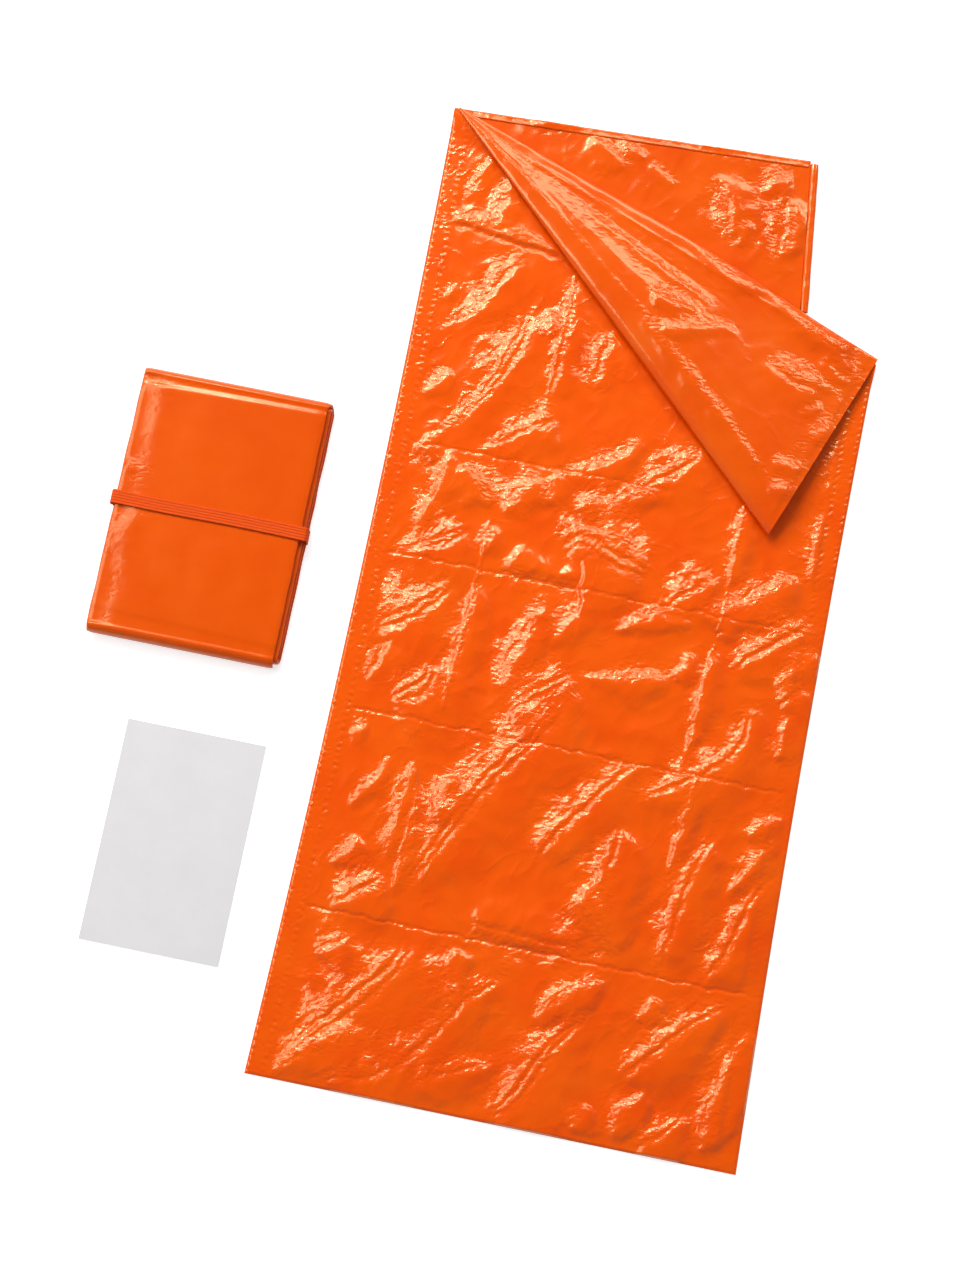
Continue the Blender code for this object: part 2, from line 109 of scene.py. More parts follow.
def across_fold(x, y):
    """Distance of a place from the corner's fold line, more than 0 on the foot's side."""
    return (x - FOLD_START.x) * FOLD_ACROSS.x + (y - FOLD_START.y) * FOLD_ACROSS.y


def ramp(value, low, high):
    """Smooth step from 0 at low to 1 at high."""
    part = np.clip((value - low) / (high - low), 0, 1)
    return part * part * (3 - 2 * part)


def soft_noise(shape, wavelength, seed, stretch=1.0):
    """Smooth random map with that wavelength in cells, about -1 to 1. Stretch draws it out along the
    way that most of the folds run, from the lower left to the upper right."""
    spectrum = np.fft.rfft2(np.random.default_rng(seed).standard_normal(shape))
    fy = np.fft.fftfreq(shape[0])[:, None]
    fx = np.fft.rfftfreq(shape[1])[None, :]
    along = fx * math.cos(FOLD_LEAN) + fy * math.sin(FOLD_LEAN)
    across = fy * math.cos(FOLD_LEAN) - fx * math.sin(FOLD_LEAN)
    size = np.hypot(along * stretch, across) * wavelength
    result = np.fft.irfft2(spectrum * np.exp(-(size - 1) ** 2 * 3), shape)
    return result / (2 * result.std())


def table_value(table, position):
    """Value at a position, straight between a table's pairs of (position, value)."""
    return np.interp(position, [row[0] for row in table], [row[1] for row in table])


class Film:
    """Height map of a wrinkled film over a rectangle. Lit says where its crackle shows, sheen where
    its tiny pleats do, and drift bends the folds' edges."""

    def __init__(self, low, high):
        self.low = np.array(low)
        counts = [int(round((high[axis] - low[axis]) / CELL)) + 1 for axis in (0, 1)]
        xs = low[0] + CELL * np.arange(counts[0])
        ys = low[1] + CELL * np.arange(counts[1])
        self.x, self.y = np.meshgrid(xs, ys)
        self.height = np.zeros_like(self.x)
        self.lit = np.zeros_like(self.x)
        self.sheen = np.zeros_like(self.x)
        self.drift = [0.0030 * self.noise(45, seed) + 0.0012 * self.noise(14, seed + 1)
                      for seed in (91, 93)]

    def noise(self, wavelength, seed, stretch=1.0):
        """Random map of the film, with that wavelength in millimetres."""
        return soft_noise(self.x.shape, wavelength / (1000 * CELL), seed, stretch)

    def light(self, amount):
        """Raises the lit map to that amount where it's lower."""
        self.lit = np.maximum(self.lit, amount)

    def window(self, points, reach):
        """Rows and columns of the cells within reach of the points."""
        low = ((points.min(axis=0) - reach - self.low) / CELL).astype(int)
        high = ((points.max(axis=0) + reach - self.low) / CELL).astype(int) + 2
        low = np.maximum(low, 0)
        return slice(low[1], max(low[1], high[1])), slice(low[0], max(low[0], high[0]))

    def measure(self, path, reach):
        """Side distance, share along and band width at the cells near a path of (x, y, width)."""
        knots = np.array(path, float) / 1000
        points = curve_through(knots, 0.008)
        rows, columns = self.window(points[:, :2], reach)
        x = self.x[rows, columns] + self.drift[0][rows, columns]
        y = self.y[rows, columns] + self.drift[1][rows, columns]
        steps = np.hypot(*np.diff(points[:, :2], axis=0).T)
        gone = np.concatenate([[0], np.cumsum(steps)])
        best = np.full(x.shape, 9.0)
        side, along, width = np.zeros_like(x), np.zeros_like(x), np.full_like(x, 0.001)
        for a, b, s0, step in zip(points, points[1:], gone, steps):
            ex, ey = (b - a)[:2]
            px, py = x - a[0], y - a[1]
            t = np.clip((px * ex + py * ey) / step ** 2, 0, 1)
            away = np.hypot(px - t * ex, py - t * ey)
            closer = away < best
            best = np.where(closer, away, best)
            side = np.where(closer, away * np.sign(px * ey - py * ex), side)
            along = np.where(closer, (s0 + t * step) / gone[-1], along)
            width = np.where(closer, a[2] + t * (b[2] - a[2]), width)
        return rows, columns, side, along, width

    def fold(self, path, slope=0.40, tail=2.4, gain=1.0):
        """A fold along a path of (x, y, width) in millimetres. Its lit flank, about as wide as the
        path says, falls to the right of the path, in two or three teeth where it is wide. The other
        flank falls away gently."""
        widest = FOLD_SPREAD * max(point[2] for point in path) / 1000
        rows, columns, side, along, width = self.measure(path, widest * (tail + 1))
        place = rows, columns
        width = width * FOLD_SPREAD
        share, *teeth = TEETH[sum(widest > limit for limit in TOOTH_WIDTHS)]
        crest = share * slope * gain * width * ramp(along, 0, 0.18) * ramp(1 - along, 0, 0.18)
        flank = table_value(teeth, side / width + 0.5)
        far = np.clip((-side - width / 2) / (tail * width), 0, 1)
        self.height[place] += crest * flank * (1 + np.cos(math.pi * far)) / 2
        near = np.exp(-((side / width - 0.35) / 0.95) ** 4)
        near = near * ramp(along, 0, 0.1) * ramp(1 - along, 0, 0.1)
        self.lit[place] = np.maximum(self.lit[place], near)
        beside = ramp(side / width, 0.25, 0.8) * (1 - ramp(side / width, 1.0, 2.6))
        beside = beside * ramp(along, 0.04, 0.25) * ramp(1 - along, 0.04, 0.25)
        beside = beside * ramp(width, 0.008, 0.028)
        self.sheen[place] = np.maximum(self.sheen[place], beside)

    def crease(self, path, height, sheer=False):
        """Sharp ridge (or groove, where height is negative) along a path of (x, y, width). A sheer
        one drops at once to the left of the path."""
        rows, columns, side, along, width = self.measure(path, max(p[2] for p in path) / 1000)
        shape = np.clip(1 - np.abs(side) / width, 0, 1) * ramp(along, 0, 0.05) * ramp(1 - along, 0, 0.05)
        if sheer:
            shape = np.clip(1 - side / width, 0, 1) * (side > 0) * ramp(along, 0, 0.2)
        self.height[rows, columns] += height / 1000 * shape
        self.lit[rows, columns] = np.maximum(self.lit[rows, columns], 0.8 * shape)

    def crinkle(self, seed, amount=1.0):
        """Small scales and sharp little ridges, strong where the film is lit and faint elsewhere."""
        scales = np.abs(self.noise(18, seed, 2.4))
        scales += 0.5 * np.abs(self.noise(10, seed + 1, 1.7))
        waves = np.abs(self.noise(60, seed + 2, 1.4))
        self.height -= 0.0009 * amount * waves + (0.00004 + 0.00042 * amount * self.lit) * scales
        for size, step in ((100, 3), (70, 4)):
            line = np.exp(-(self.noise(size, seed + step) / 0.055) ** 2)
            here = ramp(self.noise(120, seed + step + 2), 0.0, 0.5)
            self.height += 0.0007 * line * here
            self.light(0.4 * line * here)

    def blur(self, cells=1):
        """Smooths the height map over that many cells."""
        offsets = np.arange(-3 * cells, 3 * cells + 1)
        kernel = np.exp(-offsets ** 2 / (2 * cells ** 2))
        kernel /= kernel.sum()
        for axis in (0, 1):
            padding = [(0, 0), (0, 0)]
            padding[axis] = (3 * cells, 3 * cells)
            padded = np.pad(self.height, padding, mode="edge")
            self.height = np.apply_along_axis(np.convolve, axis, padded, kernel, "valid")

    def read(self, values, x, y):
        """Values of a map at points, between the cells' own."""
        u = np.clip((x - self.low[0]) / CELL, 0, self.x.shape[1] - 1.001)
        v = np.clip((y - self.low[1]) / CELL, 0, self.x.shape[0] - 1.001)
        i, j = u.astype(int), v.astype(int)
        u, v = u - i, v - j
        low = values[j, i] * (1 - u) + values[j, i + 1] * u
        high = values[j + 1, i] * (1 - u) + values[j + 1, i + 1] * u
        return low * (1 - v) + high * v


def curve_through(knots, step):
    """Points every step along a smooth curve through the knots."""
    padded = np.vstack([2 * knots[0] - knots[1], knots, 2 * knots[-1] - knots[-2]])
    points = []
    for k in range(1, len(padded) - 2):
        p0, p1, p2, p3 = padded[k - 1:k + 3]
        count = max(1, int(np.hypot(*(p2 - p1)[:2]) / step))
        for t in np.arange(count) / count:
            points.append(0.5 * (2 * p1 + (p2 - p0) * t + (2 * p0 - 5 * p1 + 4 * p2 - p3) * t * t
                                 + (3 * p1 - p0 - 3 * p2 + p3) * t ** 3))
    points.append(knots[-1])
    return np.array(points)


# Folds of the front film: points of (x, y, width of the lit flank), in millimetres
UPPER_FOLDS = [
    [(-357, 850, 5), (-374, 800, 12), (-393, 742, 5)],
    [(-317, 817, 8), (-318, 765, 15), (-325, 708, 10)],
    [(-247, 668, 14), (-287, 625, 22), (-318, 560, 18), (-348, 525, 12), (-395, 487, 4)],
    [(-222, 572, 20), (-238, 490, 32), (-268, 405, 22), (-314, 330, 14), (-370, 277, 5)],
    [(-150, 655, 8), (-150, 590, 14), (-150, 480, 16), (-152, 395, 12)],
    [(-130, 372, 30), (-175, 345, 24), (-225, 308, 14), (-273, 274, 4)],
    [(-200, 575, 6), (-188, 540, 14), (-182, 510, 5)],
    [(-68, 560, 10), (-76, 500, 24), (-84, 430, 14)],
    [(-370, 590, 4), (-385, 568, 10), (-398, 548, 4)],
    [(-345, 424, 8), (-368, 398, 16), (-398, 366, 8)],
    [(30, 368, 7), (0, 325, 14), (-50, 290, 18), (-118, 262, 8)],
    [(148, 372, 16), (112, 322, 26), (60, 282, 18), (10, 250, 8)],
    [(100, 262, 5), (20, 246, 16), (-40, 228, 16), (-85, 205, 6)],
    [(-335, 266, 8), (-325, 225, 16), (-340, 170, 15), (-358, 112, 6)],
    [(-388, 262, 10), (-368, 250, 16), (-346, 228, 6)],
    [(-212, 172, 5), (-240, 208, 20), (-288, 250, 16)],
    [(-140, 262, 8), (-172, 220, 20), (-207, 170, 10)],
    [(-120, 264, 8), (-121, 230, 16), (-126, 192, 8)],
    [(100, 110, 30), (20, 130, 50), (-40, 152, 40), (-85, 120, 20)],
    [(-250, 134, 8), (-290, 104, 34), (-345, 76, 20), (-396, 58, 5)],
    [(-212, 148, 6), (-216, 112, 14), (-221, 80, 6)],
    [(243, 286, 6), (242, 230, 12), (240, 170, 14), (243, 104, 6)],
    [(230, 142, 8), (185, 110, 26), (120, 50, 16), (35, -4, 6)],
    [(200, 40, 5), (120, 28, 10), (36, -6, 6)],
    [(354, 176, 10), (328, 132, 20), (272, 88, 20), (188, 48, 8)],
    [(414, 90, 16), (350, 38, 26), (300, -8, 22), (262, -48, 8)],
    [(434, 34, 10), (395, -2, 16), (352, -54, 6)],
    [(-184, 78, 12), (-150, 68, 16), (-90, 64, 12), (-20, 60, 16)],
    [(232, 35, 8), (246, 28, 12), (240, 14, 6)],
    [(392, 300, 8), (384, 240, 14), (392, 190, 16), (386, 130, 8)],
    [(404, 450, 6), (392, 400, 14), (398, 350, 12), (392, 300, 6)],
]
MIDDLE_FOLDS = [
    [(-253, 28, 6), (-300, -20, 34), (-350, -62, 40), (-398, -88, 12)],
    [(-216, 44, 8), (-222, -20, 15), (-228, -110, 18), (-234, -215, 12)],
    [(-88, 46, 8), (-105, -30, 18), (-128, -95, 20), (-148, -168, 10)],
    [(-14, 52, 8), (-38, 0, 16), (-68, -62, 8)],
    [(235, 0, 6), (228, -80, 14), (224, -150, 12), (222, -214, 6)],
    [(175, -68, 8), (105, -84, 20), (50, -96, 12), (-4, -98, 5)],
    [(18, -100, 14), (-54, -222, 36), (-122, -316, 36), (-184, -436, 32), (-248, -572, 14)],
    [(-2, -98, 14), (-60, -140, 36), (-128, -200, 16)],
    [(188, -20, 6), (184, -50, 14), (170, -82, 6)],
    [(322, -78, 8), (316, -160, 20), (272, -222, 28), (200, -272, 24), (140, -306, 8)],
    [(414, -38, 12), (388, -64, 24), (366, -88, 8)],
    [(390, -92, 8), (386, -150, 16), (388, -196, 8)],
    [(-370, -112, 14), (-376, -150, 22), (-390, -192, 6)],
    [(-268, -130, 16), (-280, -180, 44), (-340, -216, 14)],
    [(-352, -266, 6), (-378, -274, 14), (-400, -290, 8)],
    [(-306, -312, 4), (-334, -366, 12), (-374, -424, 5)],
    [(-240, -330, 8), (-268, -326, 12), (-276, -380, 14), (-284, -460, 14), (-290, -520, 6)],
    [(-246, -350, 5), (-248, -430, 10), (-254, -500, 10), (-260, -570, 6)],
    [(-206, -330, 16), (-208, -380, 20), (-216, -430, 8)],
    [(160, -234, 8), (112, -262, 16), (52, -342, 24), (2, -412, 22), (-16, -470, 10)],
    [(253, -228, 6), (240, -330, 12), (226, -428, 6)],
    [(308, -332, 8), (270, -420, 22), (254, -520, 22), (246, -612, 12)],
    [(128, -352, 8), (124, -400, 24), (118, -450, 30), (150, -530, 8)],
    [(60, -500, 30), (110, -540, 40), (176, -600, 10)],
    [(414, -274, 8), (382, -304, 16), (346, -334, 6)],
    [(414, -318, 6), (374, -374, 16), (334, -454, 6)],
    [(428, -380, 8), (386, -444, 18), (354, -546, 26), (322, -616, 10)],
    [(-272, -530, 20), (-312, -560, 30), (-370, -606, 8)],
    [(-338, -466, 8), (-352, -494, 16), (-384, -536, 6)],
    [(-120, -590, 14), (0, -596, 24), (110, -600, 16)],
]
FOOT_FOLDS = [
    [(-314, -650, 8), (-346, -668, 26), (-376, -688, 10)],
    [(-212, -628, 24), (-230, -694, 44), (-312, -792, 44), (-372, -858, 26), (-430, -922, 6)],
    [(-200, -812, 8), (-290, -842, 24), (-360, -878, 16), (-424, -922, 5)],
    [(-128, -628, 14), (-138, -690, 20), (-148, -748, 8)],
    [(-4, -650, 8), (-86, -720, 22), (-134, -794, 24), (-210, -876, 24), (-346, -920, 8)],
    [(162, -632, 8), (94, -672, 20), (28, -734, 8)],
    [(160, -692, 8), (94, -752, 24), (54, -826, 36), (28, -880, 34), (-26, -926, 12)],
    [(388, -632, 10), (322, -680, 24), (258, -750, 28), (200, -814, 10)],
    [(2, -812, 8), (-106, -858, 22), (-164, -894, 10)],
    [(428, -652, 10), (402, -746, 20), (380, -840, 20), (374, -922, 10)],
    [(274, -812, 6), (228, -858, 20), (208, -914, 10)],
    [(342, -838, 6), (300, -886, 22), (252, -922, 10)],
    [(160, -858, 8), (150, -886, 16), (138, -914, 6)],
    [(428, -792, 6), (406, -840, 12), (388, -892, 6)],
    [(248, -646, 8), (238, -668, 14), (220, -702, 6)],
]

# Step in the film by the mouth, in the same form, then packing creases across the bag as (y, from x,
# to x) in metres with their depth in millimetres, and along it in the folds' form
TOP_STEP = [(-150, 672, 30), (-240, 686, 36), (-340, 700, 40), (-420, 709, 40)]
TOP_STEP_HEIGHT = 4.5
TOP_GROOVE_DEPTH = 4.0
CROSS_CREASES = [(0.270, -0.43, 0.12, 1.5), (0.055, -0.43, 0.43, 1.7),
                 (SHIN_AXIS.y, -0.43, 0.43, 1.7), (FOOT_AXIS.y, -0.44, 0.44, 2.0)]
LENGTH_CREASE_HEIGHT = 1.5
LENGTH_CREASES = [
    [(-150, 650, 5), (-152, 560, 6), (-156, 470, 5), (-158, 400, 4)],
    [(-216, 160, 4), (-219, 40, 6), (-226, -90, 7), (-233, -225, 5)],
    [(243, 280, 4), (242, 190, 6), (244, 110, 6), (240, 30, 5)],
    [(238, 10, 5), (230, -80, 7), (226, -150, 7), (222, -220, 5)],
    [(252, -240, 5), (242, -330, 7), (228, -430, 5)],
    [(-247, -350, 4), (-250, -430, 5), (-258, -560, 4)],
]

# Folds of the back film by the mouth, in the same form
BACK_FOLDS = [
    [(-80, 875, 5), (-120, 902, 16), (-173, 935, 12)],
    [(-60, 905, 5), (-92, 922, 10), (-118, 940, 6)],
    [(67, 902, 8), (98, 846, 24), (112, 806, 20), (120, 768, 8)],
    [(222, 926, 8), (190, 914, 18), (168, 892, 12), (158, 870, 5)],
    [(214, 896, 10), (208, 850, 24), (214, 800, 22), (214, 742, 8)],
    [(236, 880, 6), (238, 820, 10), (240, 760, 6)],
    [(-300, 920, 4), (-250, 926, 9), (-190, 934, 4)],
    [(20, 950, 4), (70, 948, 8), (130, 952, 4)],
    [(10, 860, 5), (-30, 884, 9), (-60, 900, 4)],
    [(150, 820, 5), (138, 790, 12), (134, 760, 6)],
]

# Folds of the turned-back corner: points of (distance along the fold line, minus the distance
# across it, width of the lit flank), in millimetres
FLAP_FOLDS = [
    [(910, -322, 5), (800, -272, 9), (690, -228, 11), (580, -186, 10), (485, -147, 5)],
    [(617, -99, 6), (560, -104, 14), (520, -116, 16), (506, -134, 6)],
    [(640, -76, 4), (608, -72, 6), (480, -60, 7), (343, -45, 6), (290, -40, 4)],
    [(700, -86, 5), (640, -112, 10), (590, -150, 12), (545, -168, 6)],
    [(922, -92, 4), (865, -90, 10), (820, -92, 12), (765, -93, 5)],
    [(896, -102, 8), (850, -112, 24), (800, -116, 16), (756, -110, 6)],
    [(930, -150, 6), (922, -172, 14), (914, -206, 6)],
    [(900, -128, 5), (880, -150, 10), (868, -176, 4)],
    [(944, -250, 4), (900, -262, 12), (870, -282, 5)],
    [(946, -300, 5), (915, -306, 14), (886, -322, 6)],
    [(912, 2, 8), (850, 4, 20), (780, 6, 18), (700, 4, 8)],
    [(930, -40, 6), (880, -22, 16), (820, -18, 12), (760, -14, 5)],
    [(700, 6, 6), (640, 2, 16), (580, 2, 10), (540, 8, 4)],
    [(930, -70, 4), (890, -58, 12), (850, -52, 8)],
]


def fold_gain(path):
    """Factor on a fold's height: folds stand higher towards the bag's right side and its foot."""
    x, y, width = path[len(path) // 2]
    return (1 + 0.25 * x / 450) * (1.08 - 0.30 * y / 900)


def make_front_film():
    """Height map of the whole front film, from the foot to the mouth."""
    low = (-WIDTH / 2 - MAP_MARGIN, FOOT_Y - MAP_MARGIN)
    film = Film(low, (WIDTH / 2 + MAP_MARGIN, MOUTH_Y + MAP_MARGIN))
    for path in UPPER_FOLDS + MIDDLE_FOLDS + FOOT_FOLDS:
        film.fold(path, gain=fold_gain(path))
    film.crease(TOP_STEP, TOP_STEP_HEIGHT, sheer=True)
    film.crease([(x, y - 5, 6) for x, y, width in TOP_STEP], -TOP_GROOVE_DEPTH)
    film.height += 0.0012 * (film.noise(130, 3) + 0.5 * film.noise(60, 4))
    film.height += 0.0036 + 0.0025 * ramp(half_width(film.y) - np.abs(film.x), 0.02, 0.16)
    # Soft limits, so that no crest is cut off flat
    span = CEILING - FILM_FLOOR
    part = (film.height - FILM_FLOOR) / span
    film.height = FILM_FLOOR + span / (1 + np.exp(-(part - 0.5) * 3.6))
    film.blur()
    film.crinkle(31)
    for y, left, right, depth in CROSS_CREASES:
        film.crease([(x * 1000, y * 1000, 5) for x in np.linspace(left, right, 9)], -depth)
    for path in LENGTH_CREASES:
        film.crease(path, LENGTH_CREASE_HEIGHT)
    film.height = np.clip(film.height, 0.0022, CEILING)
    film.sheen *= ramp(film.noise(70, 32), -0.7, 0.3)
    press_seams(film)
    free = ramp(across_fold(film.x, film.y), 0.012, 0.05)
    film.height = FLAP_HINGE_Z + (film.height - FLAP_HINGE_Z) * free
    return film


def press_seams(film):
    """Presses the welded margins flat along both sides, with two rows of puckers, and the film down
    to the bag's edge."""
    outer = np.abs(film.x) - half_width(film.y)
    inward = np.minimum(-outer, film.y - FOOT_Y)
    patchy = ramp(film.noise(50, 10), -0.4, 0.6)
    seam = 1 - ramp(-outer, SEAM_WIDTH - 0.004, SEAM_WIDTH + 0.012)
    band = SEAM_HEIGHT + 0.0004 * patchy * film.noise(12, 8)
    dotted = np.exp(-((-outer - 0.006) / 0.003) ** 2) + np.exp(-((-outer - 0.032) / 0.004) ** 2)
    place = film.y - 0.5 * outer + 0.004 * film.noise(70, 9)
    pucker = np.sin(2 * math.pi * place / PUCKER_STEP) * (1 + 0.7 * film.noise(30, 7))
    band += PUCKER_HEIGHT * dotted * pucker
    seam = seam * np.where(film.x > 0, 0.35 + 0.65 * ramp(film.y, 0.05, 0.25), 1.0)
    film.height = film.height * (1 - seam) + band * seam
    film.lit = film.lit * (1 - seam) + 0.7 * patchy * seam
    film.sheen *= 1 - seam
    film.height = EDGE_HEIGHT + (film.height - EDGE_HEIGHT) * ramp(inward, -0.001, 0.004)


def point_value(mesh, name, values):
    """Stores a number for each vertex, for the materials."""
    mesh.attributes.new(name, "FLOAT", "POINT").data.foreach_set("value", np.ravel(values))


def set_normals(mesh, film, x, y):
    """Vertex normals from the height map, so that pieces that meet shade as one."""
    dx = (film.read(film.height, x + CELL, y) - film.read(film.height, x - CELL, y)) / (2 * CELL)
    dy = (film.read(film.height, x, y + CELL) - film.read(film.height, x, y - CELL)) / (2 * CELL)
    normals = np.stack([-dx, -dy, np.ones(len(x))], axis=1)
    normals /= np.linalg.norm(normals, axis=1)[:, None]
    mesh.normals_split_custom_set_from_vertices(normals.tolist())


def film_rows(low, high, creases, step=FILM_STEP):
    """Rows from low to high: close together at the creases that the piece bends on."""
    rows = [low]
    while rows[-1] < high - 0.0001:
        near = min((abs(rows[-1] - crease) for crease in creases), default=1)
        rows.append(min(high, rows[-1] + (0.0015 if near < 0.014 else step)))
    return rows


def film_mesh(name, film, rows, left, right, step=FILM_STEP, cuts=()):
    """Sheet over rows of y, between its left and right edges, lifted to the film's height map."""
    columns = int(WIDTH / step)
    bm = bmesh.new()
    bmesh.ops.create_grid(bm, x_segments=columns, y_segments=len(rows) - 1, size=1)
    for vertex in bm.verts:
        y = rows[round((vertex.co.y + 1) / 2 * (len(rows) - 1))]
        part = (vertex.co.x + 1) / 2
        vertex.co = (float(left(y) * (1 - part) + right(y) * part), y, 0)
    for point, outward in cuts:
        geometry = bm.verts[:] + bm.edges[:] + bm.faces[:]
        bmesh.ops.bisect_plane(bm, geom=geometry, plane_co=point, plane_no=outward, clear_outer=True)
    mesh = bpy.data.meshes.new(name)
    bm.to_mesh(mesh)
    bm.free()
    places = np.zeros(len(mesh.vertices) * 3)
    mesh.vertices.foreach_get("co", places)
    x, y = places[0::3], places[1::3]
    places[2::3] = film.read(film.height, x, y)
    mesh.vertices.foreach_set("co", places)
    point_value(mesh, "lit", film.read(film.lit, x, y))
    point_value(mesh, "sheen", film.read(film.sheen, x, y))
    mesh.shade_smooth()
    set_normals(mesh, film, x, y)
    return new_object(name, mesh)


def new_object(name, data):
    """Object with that mesh, lamp or camera, in the scene."""
    obj = bpy.data.objects.new(name, data)
    bpy.context.scene.collection.objects.link(obj)
    return obj


# Back film: its mouth edge and its rolled right side. Hem section: share of the hem's width in from
# the mouth edge, share of its height
BACK_MOUTH_WIDTH = 0.693
BACK_MOUTH_RISE = 0.030
ROLL_LEAN = 0.030
ROLL_WIDTH = 0.015
ROLL_HEIGHT = 0.008
TUCK_REACH = 0.130
ROLL_STEPS = 24
TUCK_STEPS = 7
TUCK_Z = 0.0003
LEAST_Z = 0.0002
HEM_WIDTH = 0.014
HEM_HEIGHT = 0.0013
HEM_SECTION = ((0, 0.1), (0.04, 0.5), (0.2, 0.5), (0.5, 0.6), (0.8, 1.2), (0.96, 1.4), (1, 0.1))
BACK_FLAT = 0.0009
ROLL_TOP_X = FOLD_START.x + BACK_MOUTH_WIDTH
ROLL_LOW_X = ROLL_TOP_X + ROLL_LEAN
ROLL_LOW_Y = FOLD_START.y + (ROLL_LOW_X - FOLD_START.x) * FOLD_ALONG.y / FOLD_ALONG.x
MOUTH_ALONG = Vector((BACK_MOUTH_WIDTH, BACK_MOUTH_RISE, 0)).normalized()
MOUTH_OUT = Vector((-MOUTH_ALONG.y, MOUTH_ALONG.x, 0))
MOUTH_CORNER = Vector((FOLD_START.x, MOUTH_Y, 0))


def back_right_edge(y):
    """Right edge of the back film: the side seam, then the fold line, then the rolled side."""
    upper = ROLL_LOW_X - ROLL_LEAN * (y - ROLL_LOW_Y) / (MOUTH_Y - ROLL_LOW_Y)
    on_fold = FOLD_START.x + (y - MOUTH_Y) * FOLD_ALONG.x / FOLD_ALONG.y
    return np.where(y <= FOLD_END.y, half_width(y), np.where(y <= ROLL_LOW_Y, on_fold, upper))


def make_back_film():
    """Height map of the back film: flat under the bag, wrinkled where the open mouth shows it."""
    film = Film((-WIDTH / 2 - MAP_MARGIN, FOOT_Y - MAP_MARGIN), (WIDTH / 2 + MAP_MARGIN, MOUTH_Y + 0.05))
    for path in BACK_FOLDS:
        film.fold(path, slope=0.23)
    film.height = np.minimum(film.height, 0.006)
    film.height += 0.0012 + 0.0009 * film.noise(90, 21)
    mottled = ramp(film.x, 0.04, 0.16) * ramp(0.24 - film.x, 0, 0.03) * ramp(film.y, 0.70, 0.78)
    film.light(0.55 * mottled * ramp(film.noise(40, 24), -0.3, 0.5))
    film.crinkle(41)
    seen = ramp(-across_fold(film.x, film.y), 0.004, 0.030)
    film.height = BACK_FLAT + (film.height - BACK_FLAT) * seen + 0.0002 * film.noise(70, 25)
    tuck_start = back_right_edge(film.y) - TUCK_REACH
    raised = ramp(film.x, tuck_start - 0.035, tuck_start)
    raised = raised * ramp(film.y, ROLL_LOW_Y - 0.035, ROLL_LOW_Y)
    film.height = np.maximum(film.height, 0.0005) + 0.0016 * raised
    film.lit *= seen
    film.sheen *= 0.8 * seen * ramp(film.noise(36, 26), -0.5, 0.5)
    film.blur()
    return film


def surface(name, points, loop=False, capped=False):
    """Smooth sheet through a grid of points (rows, columns, xyz). A loop joins its last column to
    its first, and can be capped at its first and last row."""
    rows, columns = points.shape[:2]
    index = np.arange(rows * columns).reshape(rows, columns)
    if loop:
        index = np.hstack([index, index[:, :1]])
    quads = np.stack([index[:-1, :-1], index[:-1, 1:], index[1:, 1:], index[1:, :-1]], axis=-1)
    mesh = bpy.data.meshes.new(name)
    faces = quads.reshape(-1, 4).tolist()
    if capped:
        faces += [list(range(columns))[::-1], list(range((rows - 1) * columns, rows * columns))]
    mesh.from_pydata(points.reshape(-1, 3).tolist(), [], faces)
    mesh.shade_smooth()
    return new_object(name, mesh)


# Turned-back corner. Tables: share along the fold line, share of the width at which the crest lies;
# share of the way to the crest, share of the rise to it
CORNER_WIDTH = 0.396
CORNER_PUFF = 0.0245
BEND_LOW_Z = 0.0140
SHOULDER_Z = 0.0182
UNDER_Z = 0.0166
UNDER_RELIEF = 0.0016
EDGE_TUCK = 0.004
TIP_SHARE = 0.15
BEND_REACH = 0.012
BEND_STEPS = 13
SHORT_MARGIN = 0.013
CREST_ANGLE = 22
CREST_PARTS = ((0, 0.65), (0.2, 0.67), (0.45, 0.73), (0.58, 0.73), (0.8, 0.79), (0.93, 0.82), (1, 0.84))
UPPER_RISE = ((0, 0), (0.06, 0.02), (0.26, 0.12), (0.70, 0.86), (0.80, 0.92), (1, 1))


def make_corner_film():
    """Height map of the corner's upper film, over (distance along the fold, minus distance across)."""
    film = Film((-0.02, -CORNER_WIDTH - 0.02), (FOLD_LENGTH + 0.02, 0.05))
    for path in FLAP_FOLDS:
        film.fold(path, slope=0.24, tail=2.0)
    along = np.clip(film.x / FOLD_LENGTH, 0.02, 1)
    part = -film.y / (CORNER_WIDTH * along)
    bright = ramp(part, 0.14, 0.24) * (1 - ramp(part, 0.50, 0.58)) * ramp(along, 0.08, 0.2)
    film.light(0.4 * bright * (1 - ramp(along, 0.60, 0.74)))
    end = ramp(film.x, FOLD_LENGTH - 0.075, FOLD_LENGTH - 0.030) * ramp(film.noise(60, 54), -0.5, 0.4)
    film.light(0.7 * end)
    film.crinkle(51, 0.5)
    film.height += 0.0004 * film.noise(80, 55)
    crest = CORNER_WIDTH * along * table_value(CREST_PARTS, along)
    ridge = np.clip(1 - np.abs(film.y + crest + 0.0015 * film.noise(60, 56)) / 0.007, 0, 1)
    ridge = ridge * ramp(film.x, 0.02, 0.10) * (1 - ramp(film.x, 0.46, 0.56))
    film.height += 0.0007 * ridge
    film.light(0.5 * ridge)
    shoulder = np.exp(-((film.y + 0.017) / 0.0045) ** 2) * ramp(film.x, 0.06, 0.2)
    film.height += 0.0012 * shoulder * (1 - ramp(film.x, 0.84, 0.93))
    film.light(0.3 * shoulder)
    margin = ramp(film.x, FOLD_LENGTH - SHORT_MARGIN - 0.002, FOLD_LENGTH - SHORT_MARGIN + 0.002)
    film.height -= 0.0012 * margin * (1 + 0.5 * film.noise(14, 58))
    film.height *= 1 - ramp(part, 0.93, 1.0)
    film.blur()
    return film


